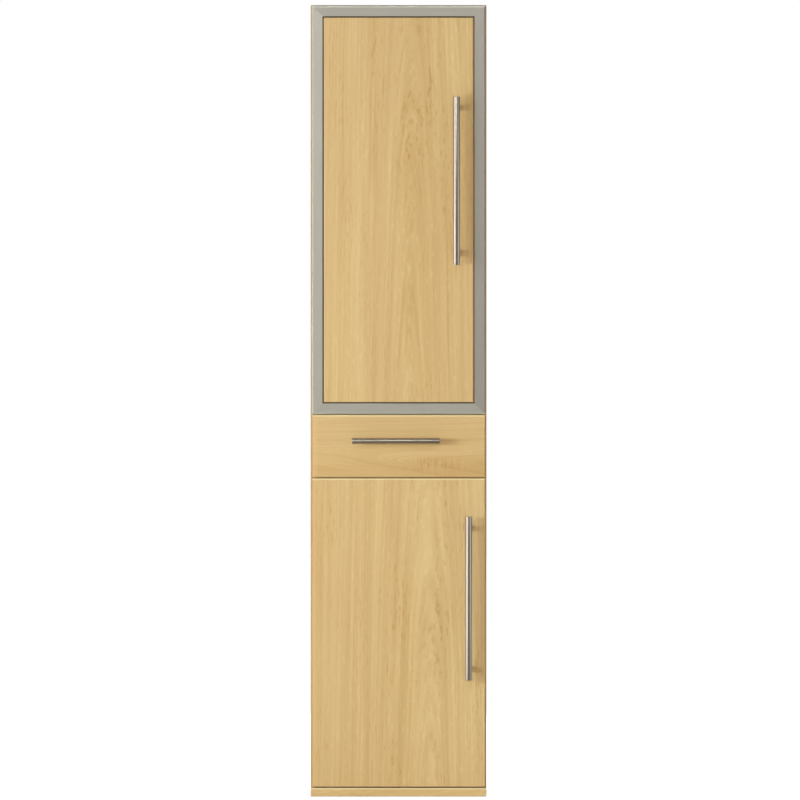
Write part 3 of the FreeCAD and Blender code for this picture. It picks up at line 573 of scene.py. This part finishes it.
def banded(finish, node, wood):
    """Painted warm light on a front's left edge, highlight on its top corner, shade round it."""
    low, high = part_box(node)
    left_light = near_low(finish.x, low.x, *LEFT_LIGHT_EDGE)
    corner = near_high(finish.z, high.z, *CORNER_HIGHLIGHT_EDGE)
    finish.tint(left_light * STRENGTH["left_light"], wood.oak_left_light)
    finish.tint(corner * STRENGTH["corner"], wood.oak_corner_highlight)
    finish.tint(edge_shade(finish, node) * STRENGTH["edge_shade"], wood.oak_edge_shade)
    return finish


def oak_board(name, wood, grain, seed):
    """Oak-faced board whose rear edges are raw."""
    finish = oak(name, wood, grain, apex=(0.06, 0.7), seed=seed, figure=0.6, deep=True)
    chips = finish.noise(finish.place, 420.0, 3.0, 0.7)
    raw = finish.mix(chips.step(*NOISE_TURN), toned(wood.board_raw, 0.75), wood.board_raw)
    finish.tint(near_high(finish.y, CAD_BOX[1].y, *REAR_EDGE), raw)
    return finish


def sheet_board(name, pale, dark, seed):
    """Thin fibreboard or plain drawer board: short soft streaks and specks."""
    finish = Finish(name)
    grain = finish.vector(finish.x * 240 + seed, finish.y * 240, finish.z * 14)
    streak = finish.noise(grain, detail=3.0, roughness=0.6)
    speck = finish.noise(finish.place, 900.0, roughness=0.6)
    amount = streak * 0.7 + speck * 0.3
    finish.set("Base Color", finish.mix(amount.step(*NOISE_TURN), pale, dark))
    finish.set("Roughness", 0.5 + speck * 0.2)
    finish.bump(speck, 0.15, 0.0003)
    return finish


def brushed_metal(name, colour, along, roughness, metallic=1.0, contrast=0.1):
    """Metal with fine scratches that run along one axis."""
    finish = Finish(name)
    stretch = {axis: SCRATCH_ALONG if axis == along else SCRATCH_ACROSS for axis in "xyz"}
    lines = finish.vector(finish.x * stretch["x"], finish.y * stretch["y"],
                          finish.z * stretch["z"])
    scratch = finish.noise(lines, roughness=0.6)
    cloud = finish.noise(finish.place, 9.0)
    amount = (scratch * 0.7 + cloud * 0.3).step(*NOISE_TURN)
    finish.colour = finish.mix(amount, toned(colour, 1 - contrast), colour)
    finish.set("Base Color", finish.colour)
    finish.set("Metallic", metallic)
    finish.set("Roughness", roughness + (scratch - NOISE_MIDDLE) * 0.08)
    finish.bump(scratch, 0.03, 0.0002)
    return finish


def plated_metal(name, colour, roughness, grit_scale):
    """Cast or pressed metal under a thin plating."""
    finish = Finish(name)
    cloud = finish.noise(finish.place, 60.0, 3.0, 0.6)
    grit = finish.noise(finish.place, grit_scale)
    finish.set("Base Color", finish.mix(cloud.step(*NOISE_TURN), toned(colour, 0.86), colour))
    finish.set("Metallic", 1.0)
    finish.set("Roughness", roughness + grit * 0.1)
    finish.bump(grit, 0.12, 0.0002)
    return finish


def coated(name, pale, dark, roughness, grit_scale):
    """Paint, nylon or rubber: an even skin with a faint texture."""
    finish = Finish(name)
    grit = finish.noise(finish.place, grit_scale, 3.0, 0.6)
    cloud = finish.noise(finish.place, 22.0)
    amount = (grit * 0.4 + cloud * 0.6).step(*NOISE_TURN)
    finish.set("Base Color", finish.mix(amount, dark, pale))
    finish.set("Roughness", roughness + (grit - NOISE_MIDDLE) * 0.15)
    finish.bump(grit, 0.2, 0.0002)
    return finish


def dress(node, finish):
    """Give a CAD node its finish."""
    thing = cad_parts[node]
    thing.data.materials.clear()
    thing.data.materials.append(finish.material)


# ---------------------------------------------------------------- modelling
def cylinder(name, middle, radius, length, way, sides):
    """A round piece to start from, on its own, with its place in its mesh."""
    bpy.ops.object.select_all(action="DESELECT")
    turn = UP.rotation_difference(way).to_euler()
    bpy.ops.mesh.primitive_cylinder_add(vertices=sides, radius=radius, depth=length,
                                        location=middle, rotation=turn)
    bpy.ops.object.transform_apply(location=True, rotation=True, scale=True)
    piece = bpy.context.object
    piece.name = piece.data.name = name
    return piece


def pick(piece, chosen):
    """Open a piece in edit mode with only the chosen faces selected."""
    bpy.ops.object.mode_set(mode="EDIT")
    bpy.ops.mesh.select_mode(type="FACE")
    bpy.ops.mesh.select_all(action="DESELECT")
    bpy.ops.object.mode_set(mode="OBJECT")
    for face in piece.data.polygons:
        face.select = chosen(face)
    bpy.ops.object.mode_set(mode="EDIT")


def finished(piece, body, finish, node):
    """Smooth and dress a piece, hang it on its body and let it stand for its CAD node."""
    bpy.ops.object.select_all(action="DESELECT")
    piece.select_set(True)
    bpy.context.view_layer.objects.active = piece
    bpy.ops.object.shade_smooth_by_angle(angle=SMOOTH_ANGLE)
    piece.data.materials.clear()
    piece.data.materials.append(finish.material)
    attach(piece, body)
    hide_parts(node)


def turned(name, start, way, steps, sides):
    """A round piece from its start on, where each step goes so far and ends at such a radius."""
    (first, radius), *others = steps
    piece = cylinder(name, start + way * (first / 2), radius, first, way, sides)
    reached = start + way * first
    pick(piece, lambda face: face.normal.dot(way) > FACING)
    for advance, wanted in others:
        bpy.ops.mesh.extrude_region_move(TRANSFORM_OT_translate={"value": way * advance})
        reached = reached + way * advance
        bpy.ops.transform.resize(value=(wanted / radius,) * 3, center_override=reached)
        radius = wanted
    bpy.ops.object.mode_set(mode="OBJECT")
    return piece


def profile(shape, length, radius):
    """The steps of a round shape at its real length and radius."""
    return [(length * part, radius * share) for part, share in shape]


def solids(node):
    """The lowest and highest corner of each solid of a CAD node, from the lowest solid up."""
    mesh = bmesh.new()
    mesh.from_mesh(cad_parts[node].data)
    bmesh.ops.remove_doubles(mesh, verts=mesh.verts, dist=SAME_POINT)
    waiting = set(mesh.verts)
    boxes = []
    while waiting:
        island = [waiting.pop()]
        for vert in island:
            beside = {edge.other_vert(vert) for edge in vert.link_edges} & waiting
            waiting -= beside
            island.extend(beside)
        corners = [Vector([extreme(vert.co[axis] for vert in island) for axis in range(3)])
                   for extreme in (min, max)]
        boxes.append(corners)
    mesh.free()
    return sorted(boxes, key=lambda box: [round(box[0][axis], 5) for axis in (2, 0, 1)])


def cross_recess(piece, place, way, reach, width, depth):
    """Cut a cross into the end of a round piece."""
    for turned_by in (0, 90):
        bpy.ops.object.select_all(action="DESELECT")
        lie = UP.rotation_difference(way).to_matrix().to_4x4()
        lie = Matrix.Translation(place) @ lie @ Matrix.Rotation(math.radians(turned_by), 4, "Z")
        bpy.ops.mesh.primitive_cube_add(size=1)
        cutter = bpy.context.object
        cutter.matrix_world = lie @ Matrix.Diagonal((2 * reach, width, 2 * depth, 1))
        slot = piece.modifiers.new("recess", "BOOLEAN")
        slot.operation = "DIFFERENCE"
        slot.solver = "EXACT"
        slot.object = cutter
        bpy.context.view_layer.objects.active = piece
        bpy.ops.object.modifier_apply(modifier="recess")
        bpy.data.objects.remove(cutter)


def screw(name, start, way, radius, length, settings, head):
    """A screw from its head's top: domed head, cross recess, plain shank and blunt tip."""
    shank = radius * settings.shank
    steps = profile(SCREW_DOME, head, radius)
    steps += [(0, shank), (length - head - shank, shank), (shank, shank * SCREW_TIP)]
    piece = turned(name, start, way, steps, SCREW_SIDES)
    cross_recess(piece, start, way, radius * SCREW_CROSS_REACH, settings.recess_width,
                 head * SCREW_CROSS_DEPTH)
    return piece


def cam(name, start, way, radius, length, settings):
    """A cam lock from its face: raised middle, chamfered rim and cross recess."""
    rim = settings.cam_rim
    steps = ((rim * CAM_MIDDLE_HEIGHT, radius - rim * CAM_MIDDLE_INSET), (0, radius - rim),
             (rim, radius), (length - rim * (1 + CAM_MIDDLE_HEIGHT), radius))
    piece = turned(name, start, way, steps, FITTING_SIDES)
    cross_recess(piece, start, way, radius * CAM_CROSS_REACH,
                 settings.recess_width * CAM_CROSS_WIDTH, settings.cam_recess)
    return piece


def shelf_pin(name, start, way, radius, length, settings):
    """A shelf pin from its end in the side panel: grooved waist and rounded nose."""
    nose = settings.pin_nose
    waist = radius * PIN_WAIST
    steps = [(length * PIN_SEAT, radius), (0, waist), (nose * PIN_GROOVE, waist), (0, radius),
             (length * (1 - PIN_SEAT) - nose * (1 + PIN_GROOVE), radius)]
    return turned(name, start, way, steps + profile(PIN_END, nose, radius), SCREW_SIDES)


def bumper(name, start, way, radius, length):
    """A soft domed stop."""
    return turned(name, start, way, profile(BUMPER_DOME, length, radius), FITTING_SIDES)


def outwards(low, high):
    """To the side of the cabinet that a fitting is nearer to."""
    return math.copysign(1, low.x + high.x), 0, 0


def inwards(low, high):
    """Away from the side of the cabinet that a fitting is nearer to."""
    return -math.copysign(1, low.x + high.x), 0, 0


def forwards(low, high):
    """To the front of the cabinet."""
    return 0, -1, 0


def into_board(low, high):
    """Outwards for a cam that lies in a side panel, up for one that lies in a level board."""
    upright = high.x - low.x < high.z - low.z
    return outwards(low, high) if upright else (0, 0, 1)


def copied(node, body, slot, finish, way_of, make, *values):
    """Model one fitting for each way that a node's fittings point, copy it and join them all."""
    first = {}
    pieces = []
    for low, high in solids(node):
        way = Vector(way_of(low, high))
        centre, half = (low + high) / 2, (high - low) / 2
        length = 2 * sum(abs(way[axis]) * half[axis] for axis in range(3))
        radius = max((1 - abs(way[axis])) * half[axis] for axis in range(3))
        start = centre - way * length / 2
        kind = tuple(round(part) for part in way) + (round(length, 5),)
        if kind in first:
            original, place = first[kind]
            piece = original.copy()
            piece.data = original.data.copy()
            piece.data.transform(Matrix.Translation(start - place))
            bpy.context.scene.collection.objects.link(piece)
        else:
            piece = make(node + "_part", start, way, radius, length, *values)
            first[kind] = (piece, start)
        pieces.append(piece)
    bpy.ops.object.select_all(action="DESELECT")
    for piece in pieces:
        piece.select_set(True)
    bpy.context.view_layer.objects.active = pieces[0]
    bpy.ops.object.join()
    joined = bpy.context.object
    joined.name = joined.data.name = node + "_turned"
    finished(joined, body, finish, node)


def round_bar(name, node, axis, rounding):
    """A handle bar with softened rims and faintly dished ends, in its CAD node's place."""
    low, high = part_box(node)
    size = high - low
    way, length = (UP, size.z) if axis == "z" else (RIGHT, size.x)
    radius = size.y / 2
    piece = cylinder(name, (low + high) / 2, radius, length, way, BAR_SIDES)
    pick(piece, lambda face: abs(face.normal.dot(way)) > FACING)
    bpy.ops.mesh.bevel(offset=rounding, segments=BAR_RIM_FACETS, affect="EDGES")
    pick(piece, lambda face: abs(face.normal.dot(way)) > FLAT and face.area > radius * radius)
    bpy.ops.mesh.inset(thickness=radius * BAR_DISH_INSET)
    bpy.ops.transform.shrink_fatten(value=-rounding * BAR_DISH_DEPTH)
    bpy.ops.object.mode_set(mode="OBJECT")
    return piece


# ---------------------------------------------------------------- operators
class CABINET_OT_boards(bpy.types.Operator):
    """Dress the carcass boards, shelves, back and drawer box"""

    bl_idname = "cabinet.boards"
    bl_label = "Boards"

    def execute(self, context):
        wood = context.scene.cabinet_wood
        for number, node in enumerate(SLOT_NODES["oak_board"], start=1):
            grain = "z" if node.startswith("side_panel") else "x"
            dress(node, oak_board("oak_board_" + node, wood, grain, seed=3.7 * number))
        back = sheet_board("back_board", *BACK_BOARD, seed=1.0)
        for node in SLOT_NODES["back_board"]:
            dress(node, back)
        box = sheet_board("beech_board", *BEECH, seed=5.0)
        for node in SLOT_NODES["beech_board"] + SLOT_NODES["beech_dowel"]:
            dress(node, box)
        return {"FINISHED"}


class CABINET_OT_fronts(bpy.types.Operator):
    """Dress the oak fronts and the base board, each with its own piece of the log"""

    bl_idname = "cabinet.fronts"
    bl_label = "Oak fronts"

    def execute(self, context):
        wood = context.scene.cabinet_wood
        panel = oak("oak_panel", wood, "z", apex=(0.031, 1.277), seed=0.0,
                    shade=self.panel_shade)
        lower = oak("oak_lower_door", wood, "z", apex=(0.071, 0.207), seed=11.0,
                    shade=self.lower_shade)
        drawer = oak("oak_drawer", wood, "x", apex=(0.99, -1.1), seed=23.0, figure=0.35,
                     bend=self.drawer_sweep, shade=self.drawer_shade)
        base = oak("oak_base", wood, "x", apex=(0.02, 0.0), seed=31.0, figure=0.6,
                   shade=self.base_shade)
        self.painted_gap_shade(panel, wood)
        dress("upper_door_panel", panel)
        dress("lower_door", banded(lower, "lower_door", wood))
        dress("drawer_front", banded(drawer, "drawer_front", wood))
        dress("base_panel", banded(base, "base_panel", wood))
        return {"FINISHED"}

    def painted_gap_shade(self, finish, wood):
        """Painted shade at the bottom of the gap round the panel, less dark at the right."""
        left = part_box("frame_hinge_stile")[1].x + wood.panel_gap
        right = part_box("frame_handle_stile")[0].x - wood.panel_gap
        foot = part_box("frame_bottom_rail")[1].z + wood.panel_gap
        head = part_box("frame_top_rail")[0].z - wood.panel_gap
        x, z, soft = finish.x, finish.z, GAP_SHADE_SOFT
        inside = x.step(left, left + soft) * (1 - x.step(right - soft, right) * GAP_SHADE_RIGHT)
        inside = inside * z.step(foot, foot + soft) * (1 - z.step(head - soft, head))
        finish.tint((1 - inside) * STRENGTH["painted_gap_shade"], wood.panel_gap_shade)

    def panel_shade(self, finish, log):
        """Pale bands left of the middle, with a darker streaked one beside them."""
        dark = band(finish.x, *PANEL_DARK) * (log.bundles(190, 3.0) * 0.34 - 0.04)
        pale = dark - band(finish.x, *PANEL_PALE) * 0.10
        return pale - band(finish.x, *PANEL_PALE_LEFT) * 0.06 + 0.08

    def lower_shade(self, finish, log):
        """Three bands of darker streaks that fade towards the floor, and a paler right side."""
        streaks = log.bundles(170, 2.5)
        left, middle, right = (band(finish.x, *place) for place in LOWER_STREAKS)
        bands = (left + middle + right) * (streaks * 0.30 - 0.03) * finish.z.step(*LOWER_FADE)
        return bands - finish.x.step(*LOWER_PALE) * 0.08

    def base_shade(self, finish, log):
        """Paler than the fronts."""
        return BASE_TONE

    def drawer_sweep(self, finish):
        """Grain that sweeps down from the left edge in the lower half."""
        low = 1 - finish.z.step(*DRAWER_SWEEP)
        return (finish.x + DRAWER_LEFT) * low * 0.21

    def drawer_shade(self, finish, log):
        """A darker lower half, and short upright flecks right of the middle."""
        low = 1 - finish.z.step(*DRAWER_DARK)
        upright = finish.vector(finish.x * 210, finish.y * 90, finish.z * 26)
        flecks = finish.noise(upright, roughness=0.6) - NOISE_MIDDLE
        patch = band(finish.x, *DRAWER_FLECKS_ACROSS) * band(finish.z, *DRAWER_FLECKS_UP)
        return low * 0.34 + patch * (flecks * 1.9 + 0.10)


class CABINET_OT_frame(bpy.types.Operator):
    """Dress the aluminium frame, brushed along each member"""

    bl_idname = "cabinet.frame"
    bl_label = "Door frame"

    def execute(self, context):
        grey = context.scene.cabinet_metal.frame_grey
        # Painted shade: each member's grey is darker as less light falls on it.
        members = (("frame_hinge_stile", "z", 1.0), ("frame_handle_stile", "z", 0.80),
                   ("frame_top_rail", "x", 0.80), ("frame_bottom_rail", "x", 0.96))
        for node, along, tone in members:
            finish = brushed_metal(node + "_satin", toned(grey, tone), along, roughness=0.46,
                                   metallic=0.7, contrast=0.08)
            self.edges(finish, toned(grey, 1.7, most=0.95), toned(grey, 0.3))
            dress(node, finish)
        return {"FINISHED"}

    def edges(self, finish, light, dark):
        """The top and foot of the frame catch more light, and its left edge less."""
        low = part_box("frame_hinge_stile")[0]
        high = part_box("frame_handle_stile")[1]
        top = near_high(finish.z, high.z, *FRAME_TOP_EDGE)
        foot = near_low(finish.z, low.z, *FRAME_FOOT_EDGE)
        left = near_low(finish.x, low.x, *FRAME_LEFT_EDGE)
        finish.tint(top + foot * STRENGTH["frame_foot"], light)
        finish.tint(left * STRENGTH["frame_left"], dark)


class CABINET_OT_fittings(bpy.types.Operator):
    """Dress hinges and runners, and model screws, cams, pins and bumpers"""

    bl_idname = "cabinet.fittings"
    bl_label = "Fittings"

    def execute(self, context):
        nickel = context.scene.cabinet_metal.nickel
        zinc = toned(nickel, 0.8)
        steel = toned(nickel, 0.9)
        finishes = {
            "cast_zinc": plated_metal("cast_zinc", zinc, 0.38, grit_scale=500.0),
            "hinge_steel": plated_metal("hinge_steel", nickel, 0.24, grit_scale=900.0),
            "screw_steel": plated_metal("screw_steel", steel, 0.3, grit_scale=900.0),
            "runner_paint": coated("runner_paint", *RUNNER_PAINT, 0.38, grit_scale=900.0),
            "roller_plastic": coated("roller_plastic", *ROLLER_PLASTIC, 0.42, grit_scale=500.0),
        }
        for slot, finish in finishes.items():
            for node in SLOT_NODES[slot]:
                dress(node, finish)
        self.screws(context.scene.cabinet_fittings, finishes["screw_steel"])
        self.small(context.scene.cabinet_fittings, finishes)
        return {"FINISHED"}

    def screws(self, settings, finish):
        """Screws point out from inside the cabinet, in from the slides, or into the fronts."""
        small, tall = settings.head_height, settings.handle_head_height
        kinds = (("carcass_screws", "carcass", outwards, small),
                 ("arm_screws", "carcass", outwards, small),
                 ("drawer_slide_screws", "drawer", inwards, small),
                 ("upper_hinge_screws", "upper_door", forwards, small),
                 ("lower_hinge_screws", "lower_door", forwards, small),
                 ("upper_handle_screws", "upper_door", forwards, tall),
                 ("lower_handle_screws", "lower_door", forwards, tall),
                 ("drawer_handle_screws", "drawer", forwards, tall))
        for node, body, way_of, head in kinds:
            copied(node, body, "screw_steel", finish, way_of, screw, settings, head)

    def small(self, settings, finishes):
        """Cams open under the boards and inside the side panels; pins point into the cabinet."""
        zinc, steel = finishes["cast_zinc"], finishes["screw_steel"]
        rubber = coated("bumper_rubber", *RUBBER, 0.5, grit_scale=600.0)
        copied("cam_locks", "carcass", "cast_zinc", zinc, into_board, cam, settings)
        copied("shelf_pins", "carcass", "screw_steel", steel, inwards, shelf_pin, settings)
        copied("bumpers", "carcass", "bumper_rubber", rubber, forwards, bumper)


class CABINET_OT_handles(bpy.types.Operator):
    """Model the three brushed bars and their posts"""

    bl_idname = "cabinet.handles"
    bl_label = "Handles"

    def execute(self, context):
        metal = context.scene.cabinet_metal
        upright = brushed_metal("bar_steel_upright", metal.bar_steel, "z", roughness=0.30)
        level = brushed_metal("bar_steel_level", metal.bar_steel, "x", roughness=0.30)
        post = brushed_metal("post_steel", metal.bar_steel, "y", roughness=0.30)
        handles = (("upper", "upper_door", "z", upright), ("lower", "lower_door", "z", upright),
                   ("drawer", "drawer", "x", level))
        for name, body, axis, finish in handles:
            node = name + "_handle_bar"
            bar = round_bar(name + "_bar", node, axis, metal.bar_rim)
            finished(bar, body, finish, node)
            self.posts(name, body, metal, post)
        return {"FINISHED"}

    def posts(self, name, body, metal, finish):
        """Model a bar's two posts, from a chamfered collar on the front into the bar."""
        node = name + "_handle_posts"
        bar_low, bar_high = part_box(name + "_handle_bar")
        bar_radius = (bar_high.y - bar_low.y) / 2
        end = bar_low.y + (bar_high.y - bar_low.y) * POST_IN_BAR
        foot = metal.post_foot
        chamfer = foot * POST_CHAMFER
        for (low, high), which in zip(solids(node), ("first", "second")):
            core = max(high.x - low.x, high.z - low.z) / 2
            radius = min(core + metal.post_swell, bar_radius - POST_UNDER_BAR)
            collar = min(core + metal.post_collar, bar_radius)
            start = Vector(((low.x + high.x) / 2, high.y, (low.z + high.z) / 2))
            steps = ((foot - chamfer, collar), (chamfer, collar - chamfer),
                     (0, radius + POST_FILLET), (POST_FILLET, radius),
                     (high.y - end - foot - POST_FILLET, radius))
            piece = turned(f"{name}_post_{which}", start, Vector((0, -1, 0)), steps, POST_SIDES)
            finished(piece, body, finish, node)


class CABINET_OT_stage(bpy.types.Operator):
    """Set the pale floor, the camera and the lights"""

    bl_idname = "cabinet.stage"
    bl_label = "Stage"

    def execute(self, context):
        studio = context.scene.cabinet_studio
        self.floor()
        self.camera(context.scene, studio)
        self.world(context.scene, studio)
        for name, place, size, tint, missed_by in LAMPS:
            lamp = self.lamp(name, place, size, tint, getattr(studio, name + "_power"))
            for ray in missed_by:
                setattr(lamp, "visible_" + ray, False)
        return {"FINISHED"}

    def lamp(self, name, place, size, tint, power):
        """A soft rectangular lamp that looks at the cabinet."""
        light = bpy.data.lights.new(name, "AREA")
        light.shape = "RECTANGLE"
        light.size, light.size_y = size
        light.energy = power
        light.color = tint
        lamp = bpy.data.objects.new(name, light)
        lamp.location = place
        lamp.rotation_euler = (Vector(AIM) - Vector(place)).to_track_quat("-Z", "Y").to_euler()
        bpy.context.scene.collection.objects.link(lamp)
        return lamp

    def floor(self):
        """A wide pale floor, just under the cabinet."""
        bpy.ops.object.select_all(action="DESELECT")
        bpy.ops.mesh.primitive_plane_add(size=FLOOR_SIZE, location=(0, 0, -FLOOR_DROP))
        floor = bpy.context.object
        floor.name = "floor"
        finish = Finish("floor_pale")
        cloud = finish.noise(finish.place, 0.6)
        finish.set("Base Color", finish.mix(cloud, *FLOOR))
        finish.set("Roughness", 0.9)
        self.brighten(finish)
        floor.data.materials.append(finish.material)

    def brighten(self, finish):
        """White floor; in the metal a painted reflection, dim before it and glowing at its sides.
        """
        plain = Socket(finish, finish.shader.outputs[0])
        glow = finish.node("ShaderNodeEmission", {}, {"Strength": FLOOR_GLOW})
        white = finish.node("ShaderNodeAddShader", {}, {0: glow, 1: plain})
        dim = finish.node("ShaderNodeBsdfDiffuse", {}, {"Color": FLOOR_MIRRORED})
        shine = finish.node("ShaderNodeEmission", {}, {"Strength": MIRROR_GLOW})
        bright = finish.node("ShaderNodeAddShader", {}, {0: dim, 1: shine})
        sides = 1 - finish.x.step(*MIRROR_LEFT)
        sides = sides + finish.x.step(*MIRROR_RIGHT) * MIRROR_RIGHT_PART
        sides = sides * finish.y.step(*MIRROR_NEAR)
        mirrored = finish.node("ShaderNodeMixShader", {}, {0: sides, 1: dim, 2: bright})
        glossy = finish.node("ShaderNodeLightPath", {}, {}, "Is Glossy Ray")
        unseen = finish.node("ShaderNodeMixShader", {}, {0: glossy, 1: plain, 2: mirrored})
        seen = finish.node("ShaderNodeLightPath", {}, {}, "Is Camera Ray")
        shown = finish.node("ShaderNodeMixShader", {}, {0: seen, 1: unseen, 2: white})
        finish.feed(finish.tree.nodes["Material Output"].inputs["Surface"], shown)

    def camera(self, scene, studio):
        """Look straight at the front from far away."""
        lens = bpy.data.cameras.new("camera")
        lens.lens = studio.lens
        lens.sensor_width = SENSOR_WIDTH
        lens.clip_end = CAMERA_REACH
        camera = bpy.data.objects.new("camera", lens)
        camera.location = (studio.camera_side, -studio.distance, studio.camera_height)
        camera.rotation_euler = (math.radians(90), 0, 0)
        scene.collection.objects.link(camera)
        scene.camera = camera

    def world(self, scene, studio):
        """White behind the cabinet, and an even, faintly warm light on it from all round."""
        world = bpy.data.worlds.new("studio")
        world.use_nodes = True
        room = Nodes(world.node_tree)
        room.tree.nodes.remove(room.tree.nodes["Background"])
        seen = room.node("ShaderNodeBackground", {}, {"Color": WHITE})
        values = {"Color": ROOM_TINT, "Strength": studio.room_light}
        felt = room.node("ShaderNodeBackground", {}, values)
        ray = room.node("ShaderNodeLightPath", {}, {}, "Is Camera Ray")
        blend = room.node("ShaderNodeMixShader", {}, {0: ray, 1: felt, 2: seen})
        room.feed(room.tree.nodes["World Output"].inputs["Surface"], blend)
        scene.world = world
        scene.view_settings.view_transform = "Standard"
        scene.view_settings.look = "None"


class CABINET_PT_panel(bpy.types.Panel):
    """Lists the cabinet's pieces and settings"""

    bl_idname = "CABINET_PT_panel"
    bl_label = "Tall cabinet"
    bl_space_type = "VIEW_3D"
    bl_region_type = "UI"
    bl_category = "Cabinet"

    def draw(self, context):
        for operator in OPERATORS:
            self.layout.operator(operator.bl_idname)
        for held, kind in GROUPS:
            for name in kind.__annotations__:
                self.layout.prop(getattr(context.scene, held), name)


GROUPS = (("cabinet_wood", CabinetWood), ("cabinet_metal", CabinetMetal),
          ("cabinet_fittings", CabinetFittings), ("cabinet_studio", CabinetStudio))
OPERATORS = (CABINET_OT_boards, CABINET_OT_fronts, CABINET_OT_frame, CABINET_OT_fittings,
             CABINET_OT_handles, CABINET_OT_stage)


def register():
    for name, group in GROUPS:
        bpy.utils.register_class(group)
        setattr(bpy.types.Scene, name, PointerProperty(type=group))
    for operator in OPERATORS:
        bpy.utils.register_class(operator)
    bpy.utils.register_class(CABINET_PT_panel)


def unregister():
    bpy.utils.unregister_class(CABINET_PT_panel)
    for operator in reversed(OPERATORS):
        bpy.utils.unregister_class(operator)
    for name, group in reversed(GROUPS):
        delattr(bpy.types.Scene, name)
        bpy.utils.unregister_class(group)


def main():
    register()
    for operator in OPERATORS:
        group, name = operator.bl_idname.split(".")
        getattr(getattr(bpy.ops, group), name)()


if __name__ == "__main__":
    main()
